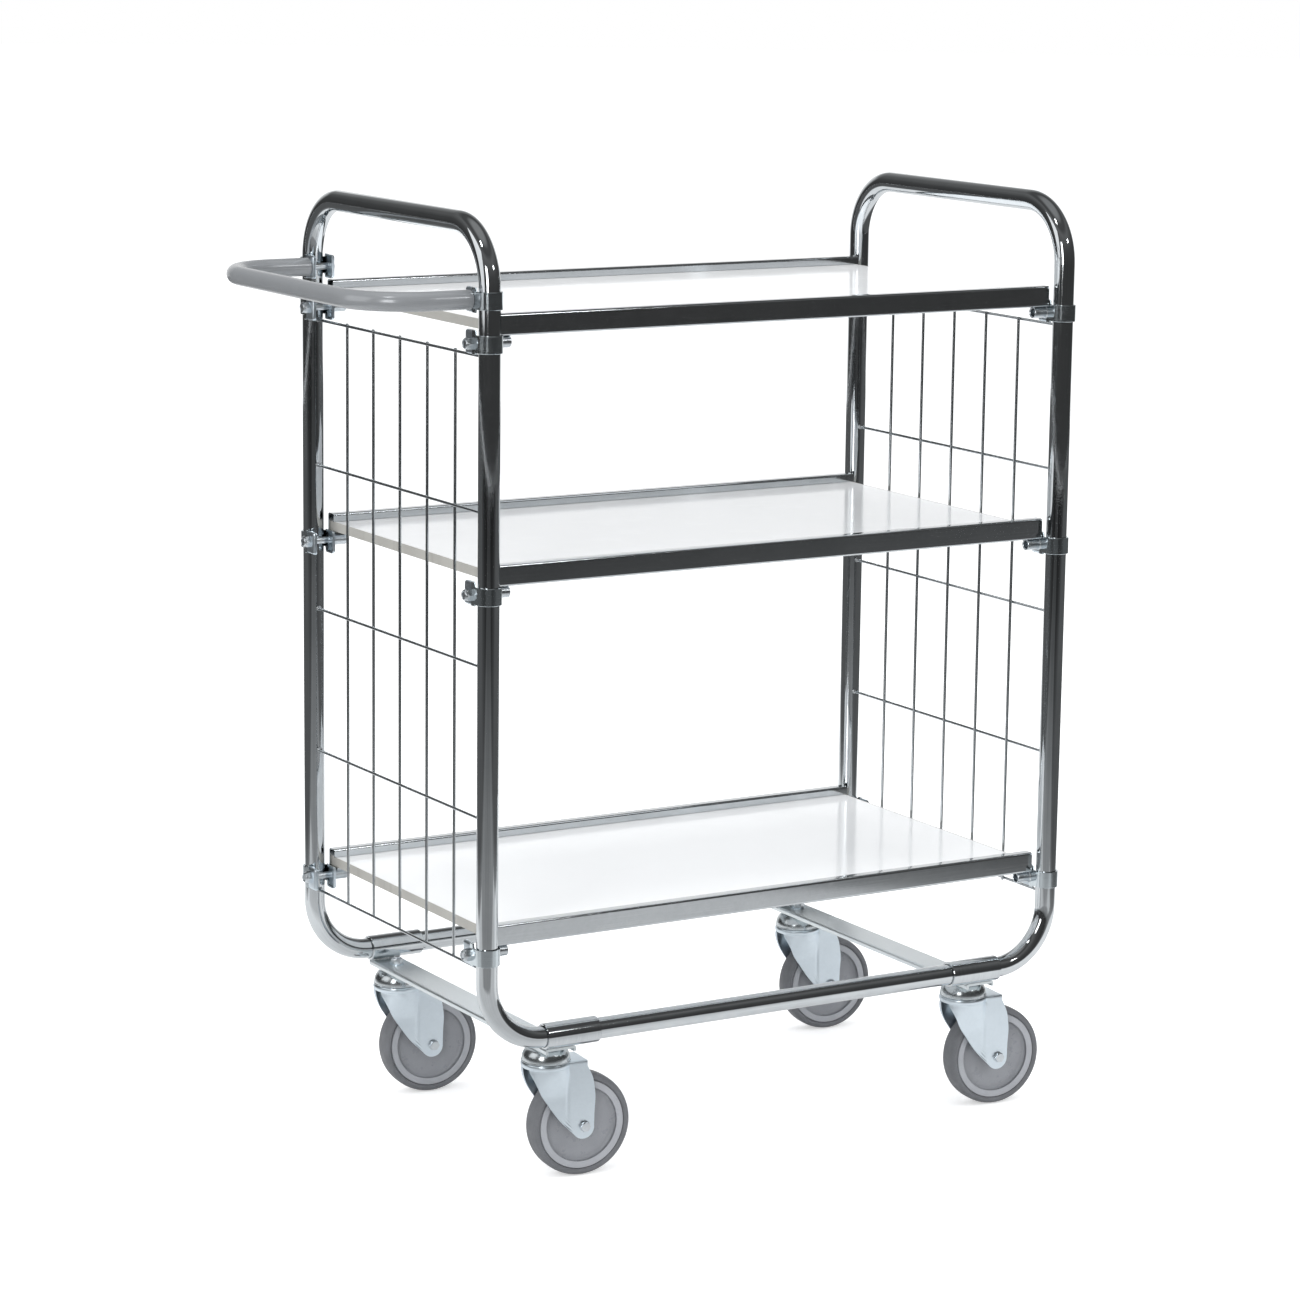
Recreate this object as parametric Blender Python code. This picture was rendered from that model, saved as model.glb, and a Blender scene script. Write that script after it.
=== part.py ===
"""Shelf trolley: two bent tube ends, three shelves, wire ends, a handle, four swivel casters.

Lengths are metres. +X runs along the shelves away from the handle, +Y from front to rear,
+Z up from the floor. Each piece is placed about the middle of the frame, and one empty
then carries the whole trolley, so that the origin lies on the floor under the middle of
its outer box.
"""
import math

import bmesh
import bpy
from mathutils import Matrix, Vector

# Clearance that two touching pieces keep
GAP = 0.0003

# Bent tubes of the end frames, and the straight lower rails
TUBE_RADIUS = 0.0125
TUBE_WALL = 0.0015
POSTS_LONG = 0.7832
POSTS_WIDE = 0.4446
HOOP_HEIGHT = 1.1151
HOOP_BEND = 0.0720
FOOT_BEND = 0.0720

# Sleeves that join the feet to the lower rails
SLEEVE_RADIUS = 0.0153
SLEEVE_PLAY = 0.0005
SLEEVE_LENGTH = 0.0700
SLEEVE_FROM_BEND = 0.0016
TUBE_END_GAP = 0.0020

# Crossbeams, inverted channels under the sleeves
BEAM_WIDTH = 0.0400
BEAM_DEPTH = 0.0065
BEAM_SHEET = 0.0030
BEAM_FROM_SLEEVE_END = 0.0027
BEAM_PAST_RAIL = 0.0030

# Wheels and casters
WHEEL_RADIUS = 0.0620
TYRE_HALF_WIDTH = 0.0150
TYRE_DEPTH = 0.0083
TREAD_HALF_WIDTH = 0.0080
TYRE_SIDE_DROP = 0.0020
TYRE_WIDEST_SHARE = 0.33
TYRE_SHOULDER_SHARE = 0.75
RIM_HALF_WIDTH = 0.0128
RIM_DEPTH = 0.0080
DISH_DEPTH = 0.0075
DISH_SLOPE = 0.0030
HUB_BOSS_RADIUS = 0.0100
HUB_BOSS_SLOPE = 0.0020
AXLE_PLAY = 0.0006
AXLE_RADIUS = 0.0040
AXLE_HEAD_RADIUS = 0.0066
AXLE_HEAD_HEIGHT = 0.0045
CASTER_TRAIL = 0.0412
CASTER_FROM_POST = 0.0330
CASTER_TURN_DEGREES = -5.0
WHEEL_TO_FORK = 0.0150
FORK_SHEET = 0.0025
FORK_HALF_WIDTH = 0.0200
FORK_SKIRT = 0.0065
FORK_RACE_RADIUS = 0.0295
FORK_LIP = 0.0010
FORK_PLATE_REAR = 0.0445
FORK_EYE_RADIUS = 0.0137
FORK_EYE_SHIFT = 0.0015
FORK_BULGE = 0.0103
FORK_EYE_FRONT_DEGREES = 222.0
FORK_EYE_REAR_DEGREES = 360.0
HEAD_RADIUS = 0.0290
HEAD_DOME = 0.0170
HEAD_BOSS_RADIUS = 0.0160
KING_PIN_RADIUS = 0.0060
KING_PIN_FLARE = 0.0030
KING_PIN_PLAY = 0.0005
STUD_RADIUS = 0.0040
STUD_TIP = 0.0040
NUT_RADIUS = 0.0075
NUT_HEIGHT = 0.0065

# Post clamps, their bolts and the barrels that carry the shelves
CLAMP_SHEET = 0.0022
BAND_HEIGHT = 0.0200
EAR_BELOW = 0.0120
EAR_ABOVE = 0.0152
EAR_REACH = 0.0310
EAR_CORNER = 0.0030
EAR_ROOT = 0.0060
BOLT_RADIUS = 0.0040
BOLT_HEAD_RADIUS = 0.0075
BOLT_HEAD_LENGTH = 0.0080
BARREL_RADIUS = 0.00675
BARREL_LENGTH = 0.0190
BARREL_BORE_RADIUS = 0.0048
BARREL_BORE_DEPTH = 0.0120

# Shelves, placed by the heights of their clamps
TOP_CLAMP_UNDER_HANDLE = 0.0485
MIDDLE_CLAMP_UNDER_TOP = 0.2825
BOTTOM_CLAMP_OVER_FOOT = 0.1048
SHELF_FROM_POST = 0.0078
SHELF_END_GAP = 0.0008
RAIL_HEIGHT = 0.0250
RAIL_SHEET = 0.0015
RAIL_FOLD = 0.0150
RAIL_FOLD_RADIUS = 0.0030
RAIL_FLANGE = 0.0220
RAIL_HEM = 0.0030
BOARD_END_INSET = 0.0020
BOARD_THICKNESS = 0.0114

# Wire panels
WIRE_RADIUS = 0.00175
WIRE_WELD = 0.0004
WIRE_UNDER_TOP_CLAMP = 0.0157
WIRE_UNDER_BOTTOM_CLAMP = 0.0189
WIRE_UPRIGHT_PITCH = 0.0680
WIRE_TIP = 0.0025

# Handle
HANDLE_RADIUS = 0.0110
HANDLE_WALL = 0.0015
HANDLE_UNDER_BEND = 0.0096
HANDLE_REACH = 0.1352
HANDLE_BEND = 0.0720
HANDLE_EAR = 0.0140
HANDLE_PLUG_LENGTH = 0.0200
HANDLE_BOLT_REACH = 0.0185
HANDLE_BOLT_IN_PLUG = 0.0140
HANDLE_BOLT_HEAD_RADIUS = 0.0065
HANDLE_BOLT_HEAD_HEIGHT = 0.0040

# Counts
TUBE_SIDES = 12
BEND_STEPS = 5
WHEEL_SIDES = 24
HEAD_SIDES = 12
BARREL_SIDES = 8
HEX_SIDES = 6
WIRE_ROWS = 5
WIRE_UPRIGHTS = 5
FILLET_STEPS = 2
SHARP_ANGLE_DEGREES = 35.0

# Outline of a fork cheek. Its front edge runs from the race down to the axle's eye: each
# pair is the share of the way along and of the drop. On the same rows its rear edge bulges
# by shares of FORK_BULGE. The eye itself is an arc, met at shares of its turn.
FRONT_EDGE_SHARES = ((0.0, 0.0), (0.11, 0.19), (0.23, 0.36), (0.40, 0.53), (0.65, 0.76))
REAR_BULGE_SHARES = (0.0, 0.65, 0.89, 1.0, 0.90)
EYE_TURN_SHARES = (0.0, 0.10, 0.28, 0.50, 0.72, 0.90, 1.0)
FORK_PLATE_SHARES = (0.5, 1.0)
FORK_RACE_TURN_DEGREES = (26.0, 52.0, 78.0, 104.0)

# Places worked out from the sizes above
POST_X = POSTS_LONG / 2
POST_Y = POSTS_WIDE / 2
QUARTER = math.pi / 2

FORK_TOP = 2 * WHEEL_RADIUS + WHEEL_TO_FORK + FORK_SHEET
HEAD_BOTTOM = FORK_TOP + GAP
HEAD_TOP = HEAD_BOTTOM + HEAD_DOME
BEAM_BOTTOM = HEAD_TOP + GAP
BEAM_TOP = BEAM_BOTTOM + BEAM_DEPTH
FOOT_HEIGHT = BEAM_TOP + GAP + SLEEVE_RADIUS

HANDLE_HEIGHT = HOOP_HEIGHT - HOOP_BEND - HANDLE_UNDER_BEND
TOP_CLAMP_HEIGHT = HANDLE_HEIGHT - TOP_CLAMP_UNDER_HANDLE
MIDDLE_CLAMP_HEIGHT = TOP_CLAMP_HEIGHT - MIDDLE_CLAMP_UNDER_TOP
BOTTOM_CLAMP_HEIGHT = FOOT_HEIGHT + BOTTOM_CLAMP_OVER_FOOT

SLEEVE_OUTER_END = POST_X - FOOT_BEND - SLEEVE_FROM_BEND
SLEEVE_X = SLEEVE_OUTER_END - SLEEVE_LENGTH / 2
BEAM_X = SLEEVE_OUTER_END - BEAM_FROM_SLEEVE_END - BEAM_WIDTH / 2
CASTER_X = BEAM_X
CASTER_Y = POST_Y - CASTER_FROM_POST

BAND_BORE = TUBE_RADIUS + GAP
BAND_OUTSIDE = BAND_BORE + CLAMP_SHEET
BOLT_REACH = TUBE_RADIUS + GAP + BOLT_RADIUS

SHELF_HALF_LENGTH = POST_X - BAND_OUTSIDE - SHELF_END_GAP
SHELF_HALF_WIDTH = POST_Y - SHELF_FROM_POST
BOARD_HALF_WIDTH = SHELF_HALF_WIDTH - RAIL_SHEET - GAP
BOARD_ON_RAIL = RAIL_HEM + GAP

HANDLE_X = -POST_X - HANDLE_REACH
RIGHT_SIDE_X = POST_X + BAND_OUTSIDE + BOLT_HEAD_LENGTH
LEFT_SIDE_X = HANDLE_X - HANDLE_RADIUS
BOX_MIDDLE_X = (RIGHT_SIDE_X + LEFT_SIDE_X) / 2

X_AXIS = Vector((1, 0, 0))
Y_AXIS = Vector((0, 1, 0))
Z_AXIS = Vector((0, 0, 1))

SIDES_X = {"left": -1, "right": 1}
SIDES_Y = {"front": -1, "rear": 1}
SHELF_LEVELS = {
    "top": TOP_CLAMP_HEIGHT,
    "middle": MIDDLE_CLAMP_HEIGHT,
    "bottom": BOTTOM_CLAMP_HEIGHT,
}

# Colour, roughness and metallic value of each finish
FINISHES = {
    "bright_zinc": ((0.62, 0.65, 0.67, 1), 0.16, 1.0),
    "satin_zinc": ((0.66, 0.71, 0.74, 1), 0.34, 1.0),
    "wire_zinc": ((0.50, 0.52, 0.54, 1), 0.30, 1.0),
    "white_laminate": ((0.86, 0.87, 0.87, 1), 0.18, 0.0),
    "grey_coating": ((0.28, 0.29, 0.30, 1), 0.32, 0.0),
    "grey_plastic": ((0.24, 0.23, 0.24, 1), 0.45, 0.0),
    "grey_rubber": ((0.12, 0.12, 0.125, 1), 0.60, 0.0),
}


# Helpers that turn drawings into meshes

def frame_matrix(origin, z_axis, x_axis):
    """A placing whose own Z and X point along the two given directions."""
    y_axis = z_axis.cross(x_axis)
    turn = Matrix((x_axis, y_axis, z_axis)).transposed()
    return Matrix.Translation(origin) @ turn.to_4x4()


def mesh_from(bm, name):
    """Close the working mesh, faces out, shaded smooth but for its real edges."""
    bmesh.ops.recalc_face_normals(bm, faces=bm.faces)
    mesh = bpy.data.meshes.new(name)
    bm.to_mesh(mesh)
    bm.free()
    mesh.shade_smooth()
    mesh.set_sharp_from_angle(angle=math.radians(SHARP_ANGLE_DEGREES))
    return mesh


def add_turned(bm, profile, sides, placing, ring=False):
    """Spin a profile of (radius, height) points about the placing's own Z."""
    verts = [bm.verts.new((radius, 0, height)) for radius, height in profile]
    edges = [bm.edges.new(pair) for pair in zip(verts, verts[1:])]
    if ring:
        edges.append(bm.edges.new((verts[-1], verts[0])))
    before = set(bm.verts) - set(verts)
    bmesh.ops.spin(
        bm, geom=verts + edges, cent=(0, 0, 0), axis=Z_AXIS,
        angle=math.tau, steps=sides, use_merge=True,
    )
    made = [vert for vert in bm.verts if vert not in before]
    bmesh.ops.transform(bm, matrix=placing, verts=made)
    bmesh.ops.remove_doubles(bm, verts=made, dist=GAP / 10)


def turned_mesh(name, profile, sides, placing, ring=False):
    bm = bmesh.new()
    add_turned(bm, profile, sides, placing, ring)
    return mesh_from(bm, name)


def add_prism(bm, outline, placing, length):
    """Extrude a closed outline, drawn in the placing's own XY, along its own Z."""
    verts = [bm.verts.new(placing @ Vector((x, y, 0))) for x, y in outline]
    face = bm.faces.new(verts)
    grown = bmesh.ops.extrude_face_region(bm, geom=[face], use_keep_orig=True)
    moved = [item for item in grown["geom"] if isinstance(item, bmesh.types.BMVert)]
    bmesh.ops.translate(bm, verts=moved, vec=placing.to_3x3() @ (Z_AXIS * length))


def prism_mesh(name, outline, placing, length):
    bm = bmesh.new()
    add_prism(bm, outline, placing, length)
    return mesh_from(bm, name)


def box_mesh(name, low, high):
    outline = [(low[0], low[1]), (high[0], low[1]), (high[0], high[1]), (low[0], high[1])]
    placing = Matrix.Translation((0, 0, low[2]))
    return prism_mesh(name, outline, placing, high[2] - low[2])


def arc(centre_x, centre_y, radius, start, end, steps):
    """Points on a round corner, from one angle to the other."""
    points = []
    for step in range(steps + 1):
        angle = start + (end - start) * step / steps
        x = centre_x + radius * math.cos(angle)
        y = centre_y + radius * math.sin(angle)
        points.append((x, y))
    return points


def placed(mesh, placing):
    """A moved copy of a mesh; a mirrored copy keeps its faces out."""
    copy = mesh.copy()
    copy.transform(placing)
    if placing.determinant() < 0:
        copy.flip_normals()
    return copy


def applied(mesh, settings):
    """The mesh after a list of modifiers, given as (kind, {property: value})."""
    host = bpy.data.objects.new(mesh.name, mesh)
    bpy.context.scene.collection.objects.link(host)
    for kind, values in settings:
        modifier = host.modifiers.new(kind.lower(), kind)
        for key, value in values.items():
            setattr(modifier, key, value)
    depsgraph = bpy.context.evaluated_depsgraph_get()
    result = bpy.data.meshes.new_from_object(host.evaluated_get(depsgraph))
    bpy.data.objects.remove(host)
    return result


def combined(mesh, other, operation):
    """Cut or join a mesh with another one by an exact Boolean."""
    tool = bpy.data.objects.new(other.name, other)
    bpy.context.scene.collection.objects.link(tool)
    settings = {"operation": operation, "object": tool, "solver": "EXACT"}
    result = applied(mesh, [("BOOLEAN", settings)])
    bpy.data.objects.remove(tool)
    return result


# Bent tubes

def bend_path(start, heading, moves):
    """Placings along a tube's axis. A move is (length,) or (bend radius, direction)."""
    placing = frame_matrix(start, heading, Y_AXIS)
    placings = [placing]
    for move in moves:
        heading = placing.to_3x3() @ Z_AXIS
        if len(move) == 1:
            placing = Matrix.Translation(heading * move[0]) @ placing
            placings.append(placing)
            continue
        radius, toward = move
        centre = placing.translation + toward * radius
        turn = Matrix.Rotation(QUARTER / BEND_STEPS, 4, heading.cross(toward))
        step = Matrix.Translation(centre) @ turn @ Matrix.Translation(-centre)
        for _ in range(BEND_STEPS):
            placing = step @ placing
            placings.append(placing)
    return placings


def add_ring(bm, placing, radius):
    circle = [math.tau * side / TUBE_SIDES for side in range(TUBE_SIDES)]
    points = [Vector((radius * math.cos(a), radius * math.sin(a), 0)) for a in circle]
    return [bm.verts.new(placing @ point) for point in points]


def join_rings(bm, here, there):
    for side in range(len(here)):
        following = (side + 1) % len(here)
        bm.faces.new((here[side], here[following], there[following], there[side]))


def tube_mesh(name, radius, wall, start, heading, moves):
    """A bent tube with open ends: outer skin, inner skin and two end rings."""
    bm = bmesh.new()
    placings = bend_path(start, heading, moves)
    outer = [add_ring(bm, placing, radius) for placing in placings]
    inner = [add_ring(bm, placing, radius - wall) for placing in placings]
    for skin in (outer, inner):
        for here, there in zip(skin, skin[1:]):
            join_rings(bm, here, there)
    for end in (0, -1):
        join_rings(bm, outer[end], inner[end])
    return mesh_from(bm, name)


def end_frame(side):
    """One tube: foot, bend, post, hoop, post, bend, foot."""
    foot_start = side * (SLEEVE_X + TUBE_END_GAP / 2)
    foot = POST_X - FOOT_BEND - (SLEEVE_X + TUBE_END_GAP / 2)
    post = HOOP_HEIGHT - HOOP_BEND - FOOT_HEIGHT - FOOT_BEND
    bar = POSTS_WIDE - 2 * HOOP_BEND
    start = Vector((foot_start, -POST_Y, FOOT_HEIGHT))
    moves = [
        (foot,), (FOOT_BEND, Z_AXIS), (post,),
        (HOOP_BEND, Y_AXIS), (bar,), (HOOP_BEND, -Z_AXIS),
        (post,), (FOOT_BEND, -side * X_AXIS), (foot,),
    ]
    return tube_mesh("end_frame", TUBE_RADIUS, TUBE_WALL, start, side * X_AXIS, moves)


def lower_rail(side):
    half = SLEEVE_X - TUBE_END_GAP / 2
    start = Vector((-half, side * POST_Y, FOOT_HEIGHT))
    return tube_mesh("lower_rail", TUBE_RADIUS, TUBE_WALL, start, X_AXIS, [(2 * half,)])


def sleeve(side_x, side_y):
    start = Vector((side_x * SLEEVE_X - SLEEVE_LENGTH / 2, side_y * POST_Y, FOOT_HEIGHT))
    wall = SLEEVE_RADIUS - TUBE_RADIUS - SLEEVE_PLAY
    return tube_mesh("sleeve", SLEEVE_RADIUS, wall, start, X_AXIS, [(SLEEVE_LENGTH,)])


def handle_tube():
    """U-shaped tube with a threaded plug pressed into each end."""
    arm_y = POST_Y - HANDLE_BOLT_REACH
    root_x = -POST_X - BAND_OUTSIDE - GAP
    arm = root_x - HANDLE_X - HANDLE_BEND
    bar = 2 * (arm_y - HANDLE_BEND)
    start = Vector((root_x, -arm_y, HANDLE_HEIGHT))
    moves = [(arm,), (HANDLE_BEND, Y_AXIS), (bar,), (HANDLE_BEND, X_AXIS), (arm,)]
    tube = tube_mesh("handle", HANDLE_RADIUS, HANDLE_WALL, start, -X_AXIS, moves)
    bore = (BOLT_RADIUS + GAP) / math.cos(math.pi / TUBE_SIDES)
    plug = ring_profile(bore, HANDLE_RADIUS - HANDLE_WALL / 2, GAP, HANDLE_PLUG_LENGTH)
    for side_y in SIDES_Y.values():
        end = Vector((root_x, side_y * arm_y, HANDLE_HEIGHT))
        placing = frame_matrix(end, -X_AXIS, Z_AXIS)
        pressed_in = turned_mesh("plug", plug, TUBE_SIDES, placing, ring=True)
        tube = combined(tube, pressed_in, "UNION")
    return tube


# Crossbeams

def crossbeam(side):
    """An inverted channel along Y, with a hole over each caster."""
    half = BEAM_WIDTH / 2
    inner = half - BEAM_SHEET
    web = BEAM_TOP - BEAM_SHEET
    outline = [
        (-half, BEAM_BOTTOM), (-half, BEAM_TOP), (half, BEAM_TOP), (half, BEAM_BOTTOM),
        (inner, BEAM_BOTTOM), (inner, web), (-inner, web), (-inner, BEAM_BOTTOM),
    ]
    half_length = POST_Y + BEAM_PAST_RAIL
    placing = frame_matrix(Vector((side * BEAM_X, half_length, 0)), -Y_AXIS, X_AXIS)
    beam = prism_mesh("crossbeam", outline, placing, 2 * half_length)
    bm = bmesh.new()
    drill = cylinder_profile(STUD_RADIUS + GAP, BEAM_BOTTOM, BEAM_TOP + BEAM_DEPTH)
    for side_y in SIDES_Y.values():
        spot = Matrix.Translation((side * CASTER_X, side_y * CASTER_Y, 0))
        add_turned(bm, drill, HEAD_SIDES, spot)
    return combined(beam, mesh_from(bm, "stud_holes"), "DIFFERENCE")


def cylinder_profile(radius, low, high):
    return [(0, low), (radius, low), (radius, high), (0, high)]


def ring_profile(bore, radius, low, high):
    return [(bore, low), (radius, low), (radius, high), (bore, high)]


# Wire panels

def add_wire(bm, start, end):
    """A wire with a ridge toward +X, so that crossing wires meet ridge to ridge."""
    along = end - start
    placing = frame_matrix(start, along.normalized(), X_AXIS)
    add_turned(bm, cylinder_profile(WIRE_RADIUS, 0, along.length), HEX_SIDES, placing)


def wire_panel(side):
    """Rows in the plane of the posts, uprights welded to their inner side."""
    top = TOP_CLAMP_HEIGHT - WIRE_UNDER_TOP_CLAMP
    bottom = BOTTOM_CLAMP_HEIGHT - WIRE_UNDER_BOTTOM_CLAMP
    row_end = POST_Y - TUBE_RADIUS - GAP
    rows = bmesh.new()
    for row in range(WIRE_ROWS):
        height = bottom + (top - bottom) * row / (WIRE_ROWS - 1)
        start = Vector((side * POST_X, -row_end, height))
        end = Vector((side * POST_X, row_end, height))
        add_wire(rows, start, end)
    uprights = bmesh.new()
    upright_x = side * (POST_X - 2 * WIRE_RADIUS + WIRE_WELD)
    for column in range(WIRE_UPRIGHTS):
        y = WIRE_UPRIGHT_PITCH * (column - (WIRE_UPRIGHTS - 1) / 2)
        start = Vector((upright_x, y, bottom - WIRE_TIP))
        end = Vector((upright_x, y, top + WIRE_TIP))
        add_wire(uprights, start, end)
    joined = mesh_from(rows, "wire_rows")
    return combined(joined, mesh_from(uprights, "wire_uprights"), "UNION")


# Shelves

def rail_outline():
    """Section of a shelf rail: depth from its outer face, height from its underside."""
    sheet = RAIL_SHEET
    radius = RAIL_FOLD_RADIUS
    crown = RAIL_HEIGHT - radius
    lip_end = BOARD_ON_RAIL + BOARD_THICKNESS + GAP
    outline = arc(radius, radius, radius, 3 * QUARTER, 2 * QUARTER, FILLET_STEPS)
    outline += arc(radius, crown, radius, 2 * QUARTER, QUARTER, FILLET_STEPS)
    outline += arc(RAIL_FOLD - radius, crown, radius, QUARTER, 0, FILLET_STEPS)
    outline += [
        (RAIL_FOLD, lip_end), (RAIL_FOLD - sheet, lip_end),
        (RAIL_FOLD - sheet, crown), (RAIL_FOLD - radius, RAIL_HEIGHT - sheet),
        (radius, RAIL_HEIGHT - sheet), (sheet, crown),
        (sheet, RAIL_HEM), (RAIL_FLANGE, RAIL_HEM), (RAIL_FLANGE, 0),
    ]
    return outline


def shelf_rail(clamp_height, side):
    """One folded rail, resting on the barrels of its two posts."""
    base = clamp_height + BARREL_RADIUS + GAP
    origin = Vector((side * SHELF_HALF_LENGTH, side * SHELF_HALF_WIDTH, base))
    outline = [(-depth, height) for depth, height in rail_outline()]
    placing = Matrix((side * Y_AXIS, Z_AXIS, side * X_AXIS)).transposed().to_4x4()
    placing = Matrix.Translation(origin) @ placing
    return prism_mesh("shelf_rail", outline, placing, -2 * SHELF_HALF_LENGTH)


def board(clamp_height):
    """The laminated board, its end strips glued on, between the two rails."""
    low = clamp_height + BARREL_RADIUS + GAP + BOARD_ON_RAIL
    half_length = SHELF_HALF_LENGTH - BOARD_END_INSET
    near = (-half_length, -BOARD_HALF_WIDTH, low)
    far = (half_length, BOARD_HALF_WIDTH, low + BOARD_THICKNESS)
    return box_mesh("board", near, far)


# Clamps. Each is drawn at the front left post: u runs inward along the trolley,
# v inward across it, both from the post's axis.

def strap_path():
    """Tube side of the strap in plan, from the tip of the outer ear to the inner tip."""
    rim = EAR_REACH - EAR_CORNER
    path = [(-BAND_BORE, EAR_REACH), (-BAND_BORE, rim), (-BAND_BORE, EAR_ROOT)]
    path += arc(0, 0, BAND_BORE, 2 * QUARTER, 4 * QUARTER, TUBE_SIDES // 2)
    path += [(BAND_BORE, EAR_ROOT), (BAND_BORE, rim), (BAND_BORE, EAR_REACH)]
    return path


def mitred(path, distance):
    """The path moved sideways by the same distance everywhere, to its right."""
    points = [Vector(point) for point in path]
    moved = []
    for index, point in enumerate(points):
        before = points[max(index - 1, 0)]
        after = points[min(index + 1, len(points) - 1)]
        arriving = (point - before).normalized() if index else (after - point).normalized()
        leaving = (after - point).normalized() if after != point else arriving
        normals = [Vector((way.y, -way.x)) for way in (arriving, leaving)]
        middle = (normals[0] + normals[1]).normalized()
        moved.append(point + middle * distance / middle.dot(normals[0]))
    return moved


def strap_mesh(name, ear_below, ear_above):
    """A strap round the tube whose ears are taller than its band."""
    inside = strap_path()
    outside = mitred(inside, CLAMP_SHEET)
    half_band = BAND_HEIGHT / 2
    first_ear = 2
    last_ear = len(inside) - 3
    bm = bmesh.new()
    stations = []
    for index, pair in enumerate(zip(inside, outside)):
        low, high = -half_band, half_band
        if index <= first_ear or index >= last_ear:
            low, high = -ear_below, ear_above
        if index in (0, len(inside) - 1):
            low, high = low + EAR_CORNER, high - EAR_CORNER
        near, far = pair
        corners = [(near, low), (near, high), (far, high), (far, low)]
        stations.append([bm.verts.new((*place, height)) for place, height in corners])
    for here, there in zip(stations, stations[1:]):
        for corner in range(4):
            following = (corner + 1) % 4
            loop = (here[corner], here[following], there[following], there[corner])
            bm.faces.new(loop)
    bm.faces.new(stations[0])
    bm.faces.new(stations[-1])
    return mesh_from(bm, name)


def bolt_line(start, reach, way=1):
    """Placing of a bolt along the trolley, its head end at the given u, its axis at v."""
    return frame_matrix(Vector((start, reach, 0)), way * X_AXIS, Z_AXIS)


def clamp_bolt():
    """Hex head on the outer ear, shank through both ears and into the barrel."""
    start = -BAND_OUTSIDE - BOLT_HEAD_LENGTH
    seat = BOLT_HEAD_LENGTH + CLAMP_SHEET / 2
    length = BAND_OUTSIDE + CLAMP_SHEET - start
    profile = [
        (0, 0), (BOLT_HEAD_RADIUS, 0), (BOLT_HEAD_RADIUS, seat),
        (BOLT_RADIUS, seat), (BOLT_RADIUS, length), (0, length),
    ]
    return turned_mesh("clamp_bolt", profile, HEX_SIDES, bolt_line(start, BOLT_REACH))


def support_barrel():
    """Round threaded barrel on the inner ear; the shelf rail rests on it."""
    root = BAND_OUTSIDE - CLAMP_SHEET / 2
    length = BARREL_LENGTH + CLAMP_SHEET / 2
    bore_end = length - BARREL_BORE_DEPTH
    profile = [
        (0, 0), (BARREL_RADIUS, 0), (BARREL_RADIUS, length),
        (BARREL_BORE_RADIUS, length), (BARREL_BORE_RADIUS, bore_end), (0, bore_end),
    ]
    return turned_mesh("barrel", profile, BARREL_SIDES, bolt_line(root, BOLT_REACH))


def handle_bolt():
    """Round head on the inner ear, shank through both ears into the handle."""
    head = HANDLE_BOLT_HEAD_HEIGHT
    start = BAND_OUTSIDE + head
    end = -BAND_OUTSIDE - HANDLE_BOLT_IN_PLUG
    crown = HANDLE_BOLT_HEAD_RADIUS - head / 2
    seat = head + CLAMP_SHEET / 2
    profile = [
        (0, 0), (crown, 0), (HANDLE_BOLT_HEAD_RADIUS, head / 2),
        (HANDLE_BOLT_HEAD_RADIUS, seat), (BOLT_RADIUS, seat),
        (BOLT_RADIUS, start - end), (0, start - end),
    ]
    placing = bolt_line(start, HANDLE_BOLT_REACH, -1)
    return turned_mesh("handle_bolt", profile, BARREL_SIDES, placing)


def shelf_clamp():
    """Strap, bolt and barrel, drawn tight into one piece."""
    strap = strap_mesh("shelf_clamp", EAR_BELOW, EAR_ABOVE)
    bolted = combined(strap, clamp_bolt(), "UNION")
    return combined(bolted, support_barrel(), "UNION")


def handle_clamp():
    """Strap and bolt, drawn tight into one piece."""
    strap = strap_mesh("handle_clamp", HANDLE_EAR, HANDLE_EAR)
    return combined(strap, handle_bolt(), "UNION")


# Casters. Each piece is drawn with the swivel axis at the origin and the wheel
# trailing along +X.

def caster_head():
    """Fixed half of the swivel: dome, stud through the beam, king pin through the fork."""
    flare_top = FORK_TOP - FORK_SHEET - GAP
    flare_bottom = flare_top - KING_PIN_FLARE
    flare_radius = KING_PIN_RADIUS + KING_PIN_FLARE
    boss_top = BEAM_TOP - BEAM_SHEET - GAP
    stud_top = BEAM_TOP + GAP + NUT_HEIGHT + STUD_TIP
    rounding = HEAD_DOME / 2
    shoulder = HEAD_RADIUS - rounding * (1 - math.sqrt(0.5))
    shoulder_height = HEAD_TOP - rounding * (1 - math.sqrt(0.5))
    profile = [
        (0, flare_bottom), (flare_radius, flare_bottom), (flare_radius, flare_top),
        (KING_PIN_RADIUS, flare_top), (KING_PIN_RADIUS, HEAD_BOTTOM),
        (HEAD_RADIUS, HEAD_BOTTOM), (HEAD_RADIUS, HEAD_TOP - rounding),
        (shoulder, shoulder_height), (HEAD_RADIUS - rounding, HEAD_TOP),
        (HEAD_BOSS_RADIUS, HEAD_TOP), (HEAD_BOSS_RADIUS, boss_top),
        (STUD_RADIUS, boss_top), (STUD_RADIUS, stud_top), (0, stud_top),
    ]
    return turned_mesh("caster_head", profile, HEAD_SIDES, Matrix())


def caster_nut():
    bore = (STUD_RADIUS + GAP) / math.cos(math.pi / HEX_SIDES)
    low = BEAM_TOP + GAP
    profile = ring_profile(bore, NUT_RADIUS, low, low + NUT_HEIGHT)
    return turned_mesh("caster_nut", profile, HEX_SIDES, Matrix(), ring=True)


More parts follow.
